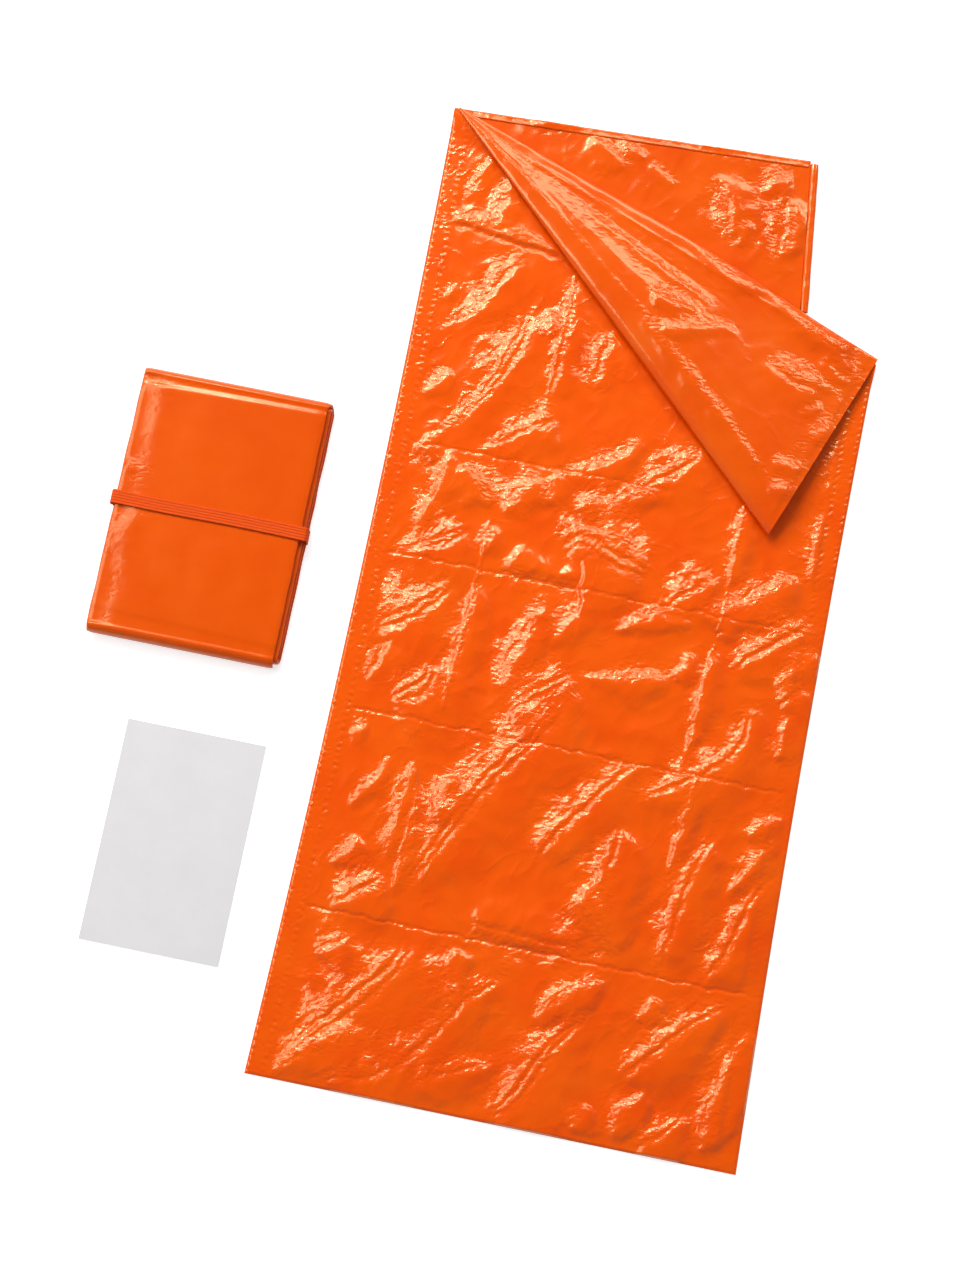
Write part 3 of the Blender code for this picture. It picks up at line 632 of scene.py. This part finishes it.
def corner_section(share, small, skin, below):
    """Sections of the corner, as its distance from the fold line and its height: round the fold's
    bend, over the puffed film to its crest, down the rolled edge and back under it."""
    width = CORNER_WIDTH * share
    crest_at = width * table_value(CREST_PARTS, share)
    inner = BEND_REACH * small
    bulge = (0.004 + 0.009 * np.exp(-((share - 0.58) / 0.22) ** 2)) * small
    crest_z = SHOULDER_Z + CORNER_PUFF * np.minimum(1, share / 0.62) ** 0.8
    shoulder_z = SHOULDER_Z + 0.0045 * np.exp(-((share - 0.55) / 0.3) ** 2)
    turn = np.radians(np.linspace(-90, 90, BEND_STEPS))[None, :]
    bend_a = inner - (inner + bulge) * np.cos(turn)
    bend_z = (BEND_LOW_Z + shoulder_z) / 2 + (shoulder_z - BEND_LOW_Z) / 2 * np.sin(turn)
    even = np.linspace(0, 1, skin)[None, 1:]
    part = even - 0.08 * np.sin(2 * math.pi * even)
    top_a = inner + (crest_at - inner) * part
    mix = ramp(share, 0.18, 0.38) * (1 - 0.8 * ramp(share, 0.60, 0.76))
    rise = part ** 1.15 * (1 - mix) + table_value(UPPER_RISE, part) * mix
    top_z = shoulder_z + (crest_z - shoulder_z) * rise
    start = math.radians(CREST_ANGLE)
    face = np.radians(np.linspace(CREST_ANGLE, 90, 19))[None, 1:]
    face_a = crest_at + (width - crest_at) * (np.sin(face) - math.sin(start)) / (1 - math.sin(start))
    foot_z = UNDER_Z + 0.0035 * small
    face_z = foot_z + (crest_z - foot_z) * (np.cos(face) / math.cos(start)) ** 0.85
    tuck = np.radians(np.linspace(0, 90, 5))[None, 1:]
    tuck_a = width - EDGE_TUCK * small * (1 - np.cos(tuck))
    tuck_z = foot_z - (foot_z - UNDER_Z) * np.sin(tuck)
    under = np.linspace(0, 1, below + 1)[None, 1:]
    under_a = (width - EDGE_TUCK * small) * (1 - under) + inner * 1.6 * under
    under_z = np.full_like(under_a, UNDER_Z)
    return (np.hstack([bend_a, top_a, face_a, tuck_a, under_a]),
            np.hstack([bend_z, top_z, face_z, tuck_z, under_z]))


def corner_points(film, rows=240, skin=124, below=70):
    """Grid of the corner with its film's relief, and how much each point is lit."""
    share = np.linspace(0.012, 1, rows)[:, None]
    small = np.minimum(1, share / TIP_SHARE)
    across, z = corner_section(share, small, skin, below)
    along = np.broadcast_to(share * FOLD_LENGTH, across.shape)
    relief = film.read(film.height, along, -across)
    columns = np.arange(across.shape[1])[None, :]
    crest = BEND_STEPS - 1 + skin
    shown = ramp(columns, 5, 11) * (1 - ramp(columns, crest, crest + 14))
    z = z + relief * shown * small
    under = np.linspace(0, 1, below + 1)[None, 1:]
    away = ramp(under, 0.0, 0.06) * (1 - ramp(under, 0.80, 0.98))
    raised = 0.5 + 0.5 * np.tanh(relief[:, -below:] / 0.0015)
    z[:, -below:] = UNDER_Z + UNDER_RELIEF * raised * away * small
    shown[:, -below:] = 0
    z += 0.0002 * soft_noise(across.shape, 26, 57) * small * shown
    shown[:, -below:] = away
    x = FOLD_START.x + FOLD_ALONG.x * along + FOLD_ACROSS.x * across
    y = FOLD_START.y + FOLD_ALONG.y * along + FOLD_ACROSS.y * across
    return np.stack([x, y, z], axis=-1), film.read(film.lit, along, -across) * shown


def roll_points(rows=90):
    """Grid of the rolled side: from the back film's edge over and round, then back under it."""
    y = np.linspace(ROLL_LOW_Y + 0.010, MOUTH_Y + BACK_MOUTH_RISE * 0.8, rows)[:, None]
    angle = np.radians(np.linspace(215, -90, ROLL_STEPS))[None, :]
    sway = 1 + 0.06 * soft_noise((rows, 1), 22, 61)
    round_a = ROLL_WIDTH / 2 * (1 + sway * np.cos(angle))
    round_z = ROLL_HEIGHT / 2 + (ROLL_HEIGHT / 2 - LEAST_Z) * sway * np.sin(angle)
    round_z = np.maximum(round_z, LEAST_Z)
    round_z += 0.0003 * soft_noise((rows, ROLL_STEPS), 9, 62) * ramp(round_z, 0.002, 0.004)
    under = np.linspace(ROLL_WIDTH / 2, -TUCK_REACH + 0.01, TUCK_STEPS + 1)[None, 1:]
    a = np.hstack([round_a, np.broadcast_to(under, (rows, TUCK_STEPS))])
    z = np.hstack([round_z, np.full((rows, TUCK_STEPS), TUCK_Z)])
    x = back_right_edge(y) + 0.0005 + a
    return np.stack([x, np.broadcast_to(y, a.shape), z], axis=-1)


def hem_points(film, rows=230):
    """Grid of the narrow hem along the mouth edge of the back film."""
    along = np.linspace(SEAM_WIDTH, BACK_MOUTH_WIDTH - 0.006, rows)[:, None]
    part, body = (np.array(values)[None, :] for values in zip(*HEM_SECTION))
    inset = HEM_WIDTH * part
    x = MOUTH_CORNER.x + MOUTH_ALONG.x * along - MOUTH_OUT.x * inset
    y = MOUTH_CORNER.y + MOUTH_ALONG.y * along - MOUTH_OUT.y * inset
    z = film.read(film.height, x, y)
    pucker = 0.0005 * soft_noise((rows, len(HEM_SECTION)), 5, 71) * (1 - np.abs(2 * part - 1))
    return np.stack([x, y, z + (HEM_HEIGHT + pucker) * body], axis=-1)


# Folded bag
PACK_CENTRE = (-0.727, 0.050)
PACK_WIDTH = 0.368
PACK_LENGTH = 0.512
RUN_COUNT = 4
RUN_THICKNESS = 0.0084
RUN_GAP = 0.0008
RUN_DRAW_IN = (0.006, 0.009, 0.003, 0.018, 0.018)
RUN_SHIFTS = (0.0, -0.001, 0.001, -0.003, -0.003)
PACK_BOTTOM = 0.0028
PACK_CROWN = 0.0015
TAIL_TURN = 115
EDGE_FALLS = (0.0034, 0.0020, 0.0014)
LEFT_CREASE_X = -0.143
SIDE_LAYERS = 4
SIDE_BULGE = 0.0011
PACK_FILM_REACH = (0.20, 0.28)


def run_level(run):
    """Level of a run in the roll, which winds outwards from the first: 0, 1, -1, 2."""
    return (run + 1) // 2 * (1 if run % 2 else -1)


def pack_route(straight=120, round_steps=20):
    """Middle line of the rolled strip as (y, z, run, level), with runs joined by half turns."""
    pitch = RUN_THICKNESS + RUN_GAP
    lowest = min(run_level(run) for run in range(RUN_COUNT))
    core_z = PACK_BOTTOM + RUN_THICKNESS / 2 - lowest * pitch
    ends = {}
    for way, first_turn in ((1, 1), (-1, 2)):
        widest = max(range(first_turn, RUN_COUNT + 1, 2)) * pitch / 2
        ends[way] = way * (PACK_LENGTH / 2 - widest - RUN_THICKNESS / 2)
    route = []
    for run in range(RUN_COUNT):
        way = 1 if run % 2 == 0 else -1
        level = run_level(run)
        for y in np.linspace(ends[-way], ends[way], straight):
            route.append((y, core_z + level * pitch, run, level))
        radius = (run + 1) * pitch / 2
        turn_end = TAIL_TURN if run == RUN_COUNT - 1 else 180
        for step in range(1, round_steps + 1):
            part = step / round_steps * turn_end / 180
            if part < 1:
                rise = radius * (1 - math.cos(math.pi * part)) * way
                y = ends[way] + way * radius * math.sin(math.pi * part)
                next_level = level + (run_level(run + 1) - level) * part
                route.append((y, core_z + level * pitch + rise, run + part, next_level))
    return np.array(route)


def pack_section():
    """Outline of the folded strip as (across -1 to 1, sideways bulge, up -1 to 1)."""
    across = np.sin(np.linspace(-0.5, 0.5, 121) * math.pi)
    top = [(a, 0, 1) for a in across]
    side = []
    for step in range(1, 6 * SIDE_LAYERS):
        up = 1 - 2 * step / (6 * SIDE_LAYERS)
        bulge = abs(math.sin(math.pi * SIDE_LAYERS * (1 - up) / 2)) ** 0.6
        side.append((1, SIDE_BULGE * bulge, up))
    bottom = [(a, 0, -1) for a in across[::-6]]
    other = [(-1, -bulge, up) for _, bulge, up in reversed(side)]
    return np.array(top + side + bottom + other)


def make_pack_film():
    """Relief of the pack's uppermost film, round its centre."""
    film = Film([-reach for reach in PACK_FILM_REACH], PACK_FILM_REACH)
    band_side = [
        [(-150, 28, 4), (-160, 42, 12), (-150, 60, 16), (-158, 84, 6)],
        [(-128, 22, 4), (-142, 34, 10), (-164, 40, 5)],
        [(-148, -26, 5), (-160, -44, 12), (-168, -70, 12), (-170, -120, 6)],
        [(-120, -22, 4), (-140, -32, 8), (-160, -40, 4)],
        [(-110, 222, 4), (-140, 226, 8), (-168, 236, 4)],
        [(-150, 196, 4), (-152, 214, 8), (-164, 240, 5)],
    ]
    streaks = [
        [(12, -34, 6), (14, -90, 12), (10, -150, 12), (12, -205, 6)],
        [(-60, -34, 5), (-58, -80, 9), (-62, -130, 9), (-58, -170, 5)],
        [(62, -110, 4), (66, -160, 8), (62, -210, 5)],
        [(-66, 200, 5), (-70, 120, 9), (-66, 60, 5)],
    ]
    for path in band_side:
        film.fold(path, slope=0.12)
    crinkled = film.lit.copy()
    for path in streaks:
        film.fold(path, slope=0.14)
    film.lit = crinkled
    row = (1, film.x.shape[1])
    film.height += 0.00012 * (soft_noise(row, 23, 81) + 0.5 * film.noise(60, 82))
    film.height += 0.00012 * ramp(-film.y, 0.02, 0.08) * soft_noise(row, 17, 83)
    left = np.exp(-((film.x - LEFT_CREASE_X + 0.003) / 0.016) ** 2)
    film.light(0.8 * left * ramp(film.noise(40, 84), -0.5, 0.4))
    film.height += 0.0006 * film.lit * film.noise(12, 85)
    return film


def pack_points():
    """Grid of the folded strip: its section swept along its route, with the relief of its top film."""
    route = pack_route()
    section = pack_section()
    film = make_pack_film()
    y, z, run, level = (route[:, k][:, None] for k in range(4))
    step = np.gradient(route[:, :2], axis=0)
    step /= np.linalg.norm(step, axis=1)[:, None]
    away_y, away_z = -step[:, 1][:, None], step[:, 0][:, None]
    draw_in = np.interp(run, range(RUN_COUNT + 1), RUN_DRAW_IN)
    shift = np.interp(run, range(RUN_COUNT + 1), RUN_SHIFTS)
    across, bulge, up = (section[:, k][None, :] for k in range(3))
    ends = np.minimum(np.arange(len(route)), np.arange(len(route))[::-1])[:, None]
    thin = 0.35 + 0.65 * ramp(ends, -1, 8)
    side = 1 - 0.35 * ramp(np.abs(across), 0.975, 1.0)
    wave = 0.0005 * soft_noise((len(route), 1), 24, 86)
    x = across * ((PACK_WIDTH - draw_in) / 2 - SIDE_BULGE) + bulge + shift + wave * np.sign(across)
    half = RUN_THICKNESS / 2 * thin * side * up
    crown = PACK_CROWN * (np.clip(level, -1, 2) + 1) / 3 * (1 - across ** 2)
    py = y + away_y * half
    pz = z + away_z * half + crown
    on_top = ramp(level, 1.55, 2.0)
    bow = 0.004 * np.sin(py * 26) + 0.0015 * np.sin(py * 71)
    crease_x = LEFT_CREASE_X - 0.010 + bow
    fall = EDGE_FALLS[0] * (1 - ramp(x, crease_x, crease_x + 0.010))
    fall = fall - 0.05 * np.clip(crease_x - x, 0, 1)
    fall = fall + EDGE_FALLS[1] * ramp(py - 0.02 * x, 0.224, 0.234)
    fall = fall + EDGE_FALLS[2] * ramp(-py - 0.03 * x, 0.208, 0.220)
    above = ramp(pz, 0.030, 0.036) * on_top
    pz = pz + above * (film.read(film.height, x, py) - fall - 0.0010)
    lit = above * film.read(film.lit, x, py)
    return np.stack([x + PACK_CENTRE[0], py + PACK_CENTRE[1], pz], axis=-1), lit


# Elastic band
BAND_WIDTH = 0.026
BAND_CORDS = 5
BAND_THICK = 0.0018
BAND_RIB = 0.0008
BAND_CORNER = 0.005
BAND_CLEARANCE = 0.0003
BAND_LOW_GAP = 0.0007


def band_line(step=0.003):
    """Middle line of the band round the pack as (x, z) with its outward direction."""
    reach = max((PACK_WIDTH - drawn) / 2 + abs(shift) for drawn, shift in zip(RUN_DRAW_IN, RUN_SHIFTS))
    half = reach + BAND_CLEARANCE + BAND_THICK / 2
    low = BAND_THICK / 2 + BAND_LOW_GAP
    stack = RUN_COUNT * RUN_THICKNESS + (RUN_COUNT - 1) * RUN_GAP
    high = PACK_BOTTOM + stack + BAND_CLEARANCE + BAND_THICK / 2
    line = []
    for x_side, z_side, start in ((1, -1, -90), (1, 1, 0), (-1, 1, 90), (-1, -1, 180)):
        if (x_side, z_side) == (-1, 1):
            for part in np.linspace(0.95, -0.95, 100):
                line.append((part * half, high + PACK_CROWN * (1 - part * part), 90))
        if (x_side, z_side) == (1, -1):
            for part in np.linspace(-0.95, 0.95, 60):
                line.append((part * half, low, -90))
        for angle in np.linspace(start, start + 90, 9):
            centre_x = x_side * (half - BAND_CORNER)
            centre_z = (low if z_side < 0 else high) - z_side * BAND_CORNER
            line.append((centre_x + BAND_CORNER * math.cos(math.radians(angle)),
                         centre_z + BAND_CORNER * math.sin(math.radians(angle)), angle))
    return np.array(line)


def band_points():
    """Grid of the ribbed band, with each point's distance along it and share across it."""
    line = band_line()
    cords = np.linspace(-1, 1, 6 * BAND_CORDS + 1)
    swell = np.abs(np.sin(math.pi * BAND_CORDS * (cords + 1) / 2)) ** 0.5
    outer = [(c, BAND_THICK / 2 + BAND_RIB * s) for c, s in zip(cords, swell)]
    inner = [(c, -BAND_THICK / 2) for c in (1, 0.5, 0, -0.5, -1)]
    section = np.array(outer + inner)
    angle = np.radians(line[:, 2])[:, None]
    out = section[:, 1][None, :]
    x = line[:, 0][:, None] + np.cos(angle) * out + PACK_CENTRE[0]
    z = line[:, 1][:, None] + np.sin(angle) * out
    sway = 0.0006 * np.sin(np.linspace(0, 14, len(line)))[:, None]
    y = PACK_CENTRE[1] + section[:, 0][None, :] * BAND_WIDTH / 2 + sway + 0 * x
    points = np.stack([x, y, z], axis=-1)
    steps = np.linalg.norm(np.diff(points[:, 0], axis=0), axis=1)
    along = np.concatenate([[0], np.cumsum(steps)])[:, None] + 0 * x
    return points, along, np.broadcast_to(section[:, 0][None, :], along.shape)


# Materials
class Nodes:
    """Short way to write the node tree of a material or world."""

    def __init__(self, owner):
        owner.use_nodes = True
        self.owner = owner
        self.tree = owner.node_tree
        self.shader = self.tree.nodes.get("Principled BSDF")

    def add(self, kind, **inputs):
        node = self.tree.nodes.new(kind)
        for key, value in inputs.items():
            if key in node.inputs:
                self.feed(node.inputs[key], value)
            else:
                setattr(node, key, value)
        return node

    def feed(self, socket, value):
        if isinstance(value, bpy.types.NodeSocket):
            self.tree.links.new(value, socket)
        else:
            socket.default_value = value

    def maths(self, operation, *values):
        node = self.add("ShaderNodeMath", operation=operation)
        for socket, value in zip(node.inputs, values):
            self.feed(socket, value)
        return node.outputs[0]

    def map_range(self, value, low, high, to_low, to_high):
        limits = {"From Min": low, "From Max": high, "To Min": to_low, "To Max": to_high}
        return self.add("ShaderNodeMapRange", Value=value, **limits).outputs[0]

    def attribute(self, name):
        return self.add("ShaderNodeAttribute", attribute_name=name).outputs["Fac"]

    def coordinates(self, kind):
        return self.add("ShaderNodeTexCoord").outputs[kind]

    def noise(self, where, scale, detail, roughness, distortion=0.0):
        return self.add("ShaderNodeTexNoise", Vector=where, Scale=scale, Detail=detail,
                        Roughness=roughness, Distortion=distortion).outputs["Fac"]

    def colour_ramp(self, value, stops):
        node = self.add("ShaderNodeValToRGB", Fac=value)
        elements = node.color_ramp.elements
        while len(elements) < len(stops):
            elements.new(0.5)
        for element, (position, colour) in zip(elements, stops):
            element.position = position
            element.color = (*colour, 1)
        return node.outputs["Color"]

    def finish(self, settings, height, strength, distance):
        """Feeds the surface its settings and a bump from that height, and returns the material."""
        bump = self.add("ShaderNodeBump", Strength=strength, Distance=distance, Height=height)
        for name, value in {**settings, "Normal": bump.outputs["Normal"]}.items():
            self.feed(self.shader.inputs[name], value)
        return self.owner


def film_material(name, deep, base, pale, roughness, gloss, crinkle):
    """Polythene: faint cloudy colour and a glossy face, with small facets and fine crinkles that the
    folds sharpen and tiny pleats beside them."""
    nodes = Nodes(bpy.data.materials.new(name))
    where = nodes.coordinates("Object")
    clouds = nodes.noise(where, 9, 3, 0.55)
    haze = nodes.noise(where, 60, 2, 0.6)
    settings = {
        "Base Color": nodes.colour_ramp(clouds, [(0.28, deep), (0.5, base), (0.75, pale)]),
        "Roughness": nodes.maths("MULTIPLY_ADD", haze, 0.10, roughness - 0.05),
        "IOR": 1.5,
        "Specular Tint": FILM_TINT,
        "Specular IOR Level": gloss,
    }
    lit = nodes.attribute("lit")
    sheen = nodes.attribute("sheen")
    bend = nodes.add("ShaderNodeTexNoise", Vector=where, Scale=38.0, Detail=1.0).outputs["Color"]
    moved = nodes.add("ShaderNodeVectorMath", operation="MULTIPLY_ADD")
    for socket, value in zip(moved.inputs, (bend, (FACET_SWAY,) * 3, where)):
        nodes.feed(socket, value)
    turned = nodes.add("ShaderNodeMapping", Vector=moved.outputs[0])
    turned.inputs["Rotation"].default_value = (0, 0, -FOLD_LEAN)
    turned.inputs["Scale"].default_value = (0.5, 1, 1)
    facets = nodes.add("ShaderNodeTexVoronoi", feature="DISTANCE_TO_EDGE", Vector=turned.outputs[0],
                       Scale=95.0).outputs["Distance"]
    fine = nodes.noise(where, 300, 2, 0.55, 0.4)
    pleats = nodes.add("ShaderNodeTexWave", bands_direction="Y", wave_profile="SAW",
                       Vector=turned.outputs[0], Scale=PLEAT_SCALE, Distortion=5.0, Detail=2.0)
    pleats = nodes.maths("MULTIPLY", nodes.maths("MULTIPLY", pleats.outputs["Fac"], sheen), -PLEAT_HEIGHT)
    height = nodes.maths("ADD", facets, nodes.maths("MULTIPLY_ADD", fine, 0.22, pleats))
    strength = nodes.maths("MULTIPLY_ADD", nodes.maths("MAXIMUM", lit, sheen), 0.90, 0.05)
    return nodes.finish(settings, height, strength, crinkle)


def elastic_material(name, groove, base):
    """Braided elastic: cords with fine slanting threads, matt."""
    nodes = Nodes(bpy.data.materials.new(name))
    across = nodes.attribute("across")
    turns = nodes.maths("MULTIPLY", nodes.attribute("around"), 2 * math.pi / THREAD_STEP)
    slant = nodes.maths("MULTIPLY_ADD", across, 5.0, turns)
    threads = nodes.maths("ABSOLUTE", nodes.maths("SINE", slant))
    cords = nodes.maths("MULTIPLY", nodes.maths("ADD", across, 1.0), math.pi * BAND_CORDS / 2)
    cords = nodes.maths("POWER", nodes.maths("ABSOLUTE", nodes.maths("SINE", cords)), 0.5)
    fuzz = nodes.noise(nodes.coordinates("Object"), 700, 2, 0.6)
    ribs = nodes.maths("ADD", nodes.maths("MULTIPLY", cords, 0.6), fuzz)
    height = nodes.maths("MULTIPLY_ADD", threads, 0.5, ribs)
    # Painted shade: the colour is darkest in the grooves between the cords and between the threads.
    tone = nodes.maths("MULTIPLY", cords, nodes.maths("MULTIPLY_ADD", threads, 0.35, 0.65))
    colour = nodes.colour_ramp(tone, [(0.1, groove), (0.75, base)])
    settings = {"Base Color": colour, "Roughness": 0.72, "Specular IOR Level": 0.2}
    return nodes.finish(settings, height, 0.7, 0.0004)


def paper_material(name, base, pale):
    """Matt uncoated paper with a faint fibre and tone."""
    nodes = Nodes(bpy.data.materials.new(name))
    where = nodes.coordinates("Object")
    colour = nodes.colour_ramp(nodes.noise(where, 14, 4, 0.6), [(0.3, base), (0.7, pale)])
    fibre = nodes.noise(where, 900, 3, 0.6)
    return nodes.finish({"Base Color": colour, "Roughness": 0.85}, fibre, 0.25, 0.0002)


def dress(obj, material):
    """Gives a new piece its material."""
    obj.data.materials.clear()
    obj.data.materials.append(material)
    return obj


FILM_TINT = (1.0, 1.0, 0.58, 1)
FACET_SWAY = 0.012
PLEAT_SCALE = 38.0
PLEAT_HEIGHT = 1.5
THREAD_STEP = 0.0026
FILM = film_material("orange_film", (0.94, 0.083, 0.001), (0.96, 0.102, 0.0012), (0.98, 0.120, 0.002),
                     0.15, 0.80, 0.0016)
# Darker copy of the same film for the back film by the mouth, its hem, its rolled side and the
# turned-back corner: painted shade that tones down the brighter light on the top of the bag.
TOP_SHADED_FILM = film_material("film_painted_shade", (0.86, 0.079, 0.001), (0.885, 0.097, 0.0012),
                           (0.91, 0.114, 0.002), 0.15, 0.80, 0.0016)
# The pack's film has a darker colour than the bag's, though it is the same film: painted shade.
PACK_FILM = film_material("pack_film", (0.80, 0.080, 0.001), (0.83, 0.092, 0.0015), (0.86, 0.104, 0.003),
                          0.19, 0.50, 0.0012)
ELASTIC = elastic_material("elastic", (0.60, 0.045, 0.001), (0.84, 0.088, 0.002))
PAPER = paper_material("paper", (0.745, 0.725, 0.735), (0.775, 0.760, 0.768))

# Open bag
SPLIT_Y = (SHIN_AXIS.y + FOOT_AXIS.y) / 2


def bend_over(obj):
    """Bakes the piece's placement into its mesh."""
    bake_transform(obj)


def left_edge(y):
    return -half_width(y)


front = make_front_film()
fold_cut = (FOLD_START + FOLD_ACROSS * 0.006, -FOLD_ACROSS)
upper_rows = film_rows(SPLIT_Y, MOUTH_Y, [SHIN_AXIS.y])
upper = film_mesh("front_film_upper", front, upper_rows, left_edge, half_width, cuts=[fold_cut])
lower_rows = film_rows(FOOT_Y, SPLIT_Y, [FOOT_AXIS.y])
lower = film_mesh("front_film_lower", front, lower_rows, left_edge, half_width)
dress(upper, FILM)
dress(lower, FILM)
bend_over(upper)
bend_over(lower)
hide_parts("front_sheet", "left_seam", "right_seam", "shin_front_sheet", "shin_left_seam",
            "shin_right_seam")
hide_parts("foot_front_sheet", "foot_left_seam", "foot_right_seam", "foot_seam")

back = make_back_film()
mouth_cut = (MOUTH_CORNER, MOUTH_OUT)
seen_from = 0.55
back_rows = film_rows(SPLIT_Y, seen_from, [SHIN_AXIS.y], 0.02)
back_rows += film_rows(seen_from, MOUTH_Y + 1.2 * BACK_MOUTH_RISE, [], 0.005)[1:]
back_upper = film_mesh("back_film_upper", back, back_rows, left_edge, back_right_edge, 0.005,
                       cuts=[mouth_cut])
back_lower = film_mesh("back_film_lower", back, film_rows(FOOT_Y, SPLIT_Y, [FOOT_AXIS.y], 0.02),
                       left_edge, half_width, 0.012)
dress(back_upper, TOP_SHADED_FILM)
dress(back_lower, FILM)
bend_over(back_upper)
bend_over(back_lower)
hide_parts("back_sheet", "shin_back_sheet")
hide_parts("foot_back_sheet")
hem = dress(surface("mouth_hem", hem_points(back)), TOP_SHADED_FILM)
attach(hem, "bag")
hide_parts("back_mouth_hem")
side_roll = dress(surface("rolled_side", roll_points()), TOP_SHADED_FILM)
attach(side_roll, "bag")
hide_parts("tucked_margin")

# Turned-back corner
corner_grid, corner_lit = corner_points(make_corner_film())
corner = dress(surface("turned_back_corner", corner_grid), TOP_SHADED_FILM)
point_value(corner.data, "lit", corner_lit)
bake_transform(corner)
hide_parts("flap_top_sheet", "flap_under_sheet", "flap_mouth_roll", "flap_side_margin",
            "mouth_fold")

# Folded bag, band and leaflet
pack_grid, pack_lit = pack_points()
pack = dress(surface("folded_bag", pack_grid, loop=True, capped=True), PACK_FILM)
point_value(pack.data, "lit", pack_lit)
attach(pack, "pack")
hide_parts("packed_bag")
closed = [np.concatenate([values, values[:1]]) for values in band_points()]
band_grid, band_around, band_across = closed
band = dress(surface("braided_band", band_grid, loop=True), ELASTIC)
point_value(band.data, "around", band_around)
point_value(band.data, "across", band_across)
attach(band, "band")
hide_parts("elastic_band")
for node_name, material in (("band_join", ELASTIC), ("instruction_card", PAPER)):
    materials = frame["nodes"][node_name].data.materials
    materials.clear()
    materials.append(material)

# Stage: floor, lamps, sky and camera
def make_floor():
    """Pale floor just below the set. For the camera and in reflections it also glows, more so away
    from the set, so that it looks white."""
    bm = bmesh.new()
    bmesh.ops.create_grid(bm, x_segments=1, y_segments=1, size=20)
    mesh = bpy.data.meshes.new("floor")
    bm.to_mesh(mesh)
    bm.free()
    nodes = Nodes(bpy.data.materials.new("pale_floor"))
    nodes.tree.nodes.remove(nodes.shader)
    path = nodes.add("ShaderNodeLightPath").outputs
    seen = nodes.maths("MAXIMUM", path["Is Camera Ray"], path["Is Glossy Ray"])
    seen = nodes.maths("MAXIMUM", seen, path["Is Transmission Ray"])
    away = nodes.add("ShaderNodeVectorMath", operation="LENGTH", Vector=nodes.coordinates("Object"))
    level = nodes.map_range(away.outputs["Value"], 2.0, 6.0, 0.66, 1.0)
    strength = nodes.maths("MULTIPLY", seen, level)
    glow = nodes.add("ShaderNodeEmission", Color=(1, 1, 1, 1), Strength=strength)
    diffuse = nodes.add("ShaderNodeBsdfDiffuse", Color=(0.74, 0.74, 0.74, 1))
    both = nodes.add("ShaderNodeAddShader")
    for socket, shader in zip(both.inputs, (diffuse, glow)):
        nodes.feed(socket, shader.outputs[0])
    nodes.feed(nodes.tree.nodes["Material Output"].inputs["Surface"], both.outputs[0])
    mesh.materials.append(nodes.owner)
    floor = new_object("floor", mesh)
    floor.location.z = -0.0008
    return floor


def make_sky():
    """Sky that's white for the camera and dim, darkest overhead, for everything else."""
    world = bpy.data.worlds.new("studio")
    bpy.context.scene.world = world
    nodes = Nodes(world)
    up = nodes.add("ShaderNodeSeparateXYZ", Vector=nodes.coordinates("Generated")).outputs["Z"]
    seen = nodes.add("ShaderNodeLightPath").outputs["Is Camera Ray"]
    background = nodes.tree.nodes["Background"]
    background.inputs["Color"].default_value = (1, 1, 1, 1)
    level = nodes.maths("MAXIMUM", nodes.map_range(up, 0, 1, 0.42, 0.08), seen)
    nodes.feed(background.inputs["Strength"], level)


def softbox(name, place, aim, size, radiance):
    """Rectangular area lamp of that radiance, aimed at a point."""
    lamp = bpy.data.lights.new(name, "AREA")
    lamp.shape = "RECTANGLE"
    lamp.size, lamp.size_y = size
    lamp.energy = radiance * math.pi * size[0] * size[1]
    obj = new_object(name, lamp)
    obj.location = place
    obj.rotation_euler = (Vector(aim) - Vector(place)).to_track_quat("-Z", "Y").to_euler()


def make_camera():
    """Camera of the photograph, fitted to the bag's corners, the leaflet and the pack."""
    data = bpy.data.cameras.new("camera")
    data.lens = 56.25
    data.sensor_width = 36
    data.clip_end = 60
    camera = new_object("camera", data)
    camera.location = (-0.0901, -0.568, 3.6762)
    camera.rotation_euler = (0.1363, 0, 0.2004)
    bpy.context.scene.camera = camera


floor = make_floor()
softbox("left_softbox", (-5.8, 0.6, 6.6), (-0.1, 0.1, 0), (4.2, 3.4), 5.05)
softbox("corner_softbox", (-3.9, 5.6, 6.8), (-0.1, 0.1, 0), (5.0, 4.6), 6.25)
softbox("top_softbox", (1.3, 6.9, 6.4), (-0.1, 0.1, 0), (5.2, 2.6), 4.75)
softbox("crest_softbox", (3.8, 5.4, 6.2), (0.3, 0.4, 0), (1.1, 1.5), 7.0)
softbox("key_softbox", (-2.3, 4.6, 6.8), (-0.1, 0, 0), (0.7, 0.7), 43.0)
softbox("edge_softbox", (-5.5, 5.8, 6.0), (-0.1, 0, 0), (0.9, 0.9), 38.0)
make_sky()
make_camera()
bpy.context.scene.view_settings.view_transform = "Standard"
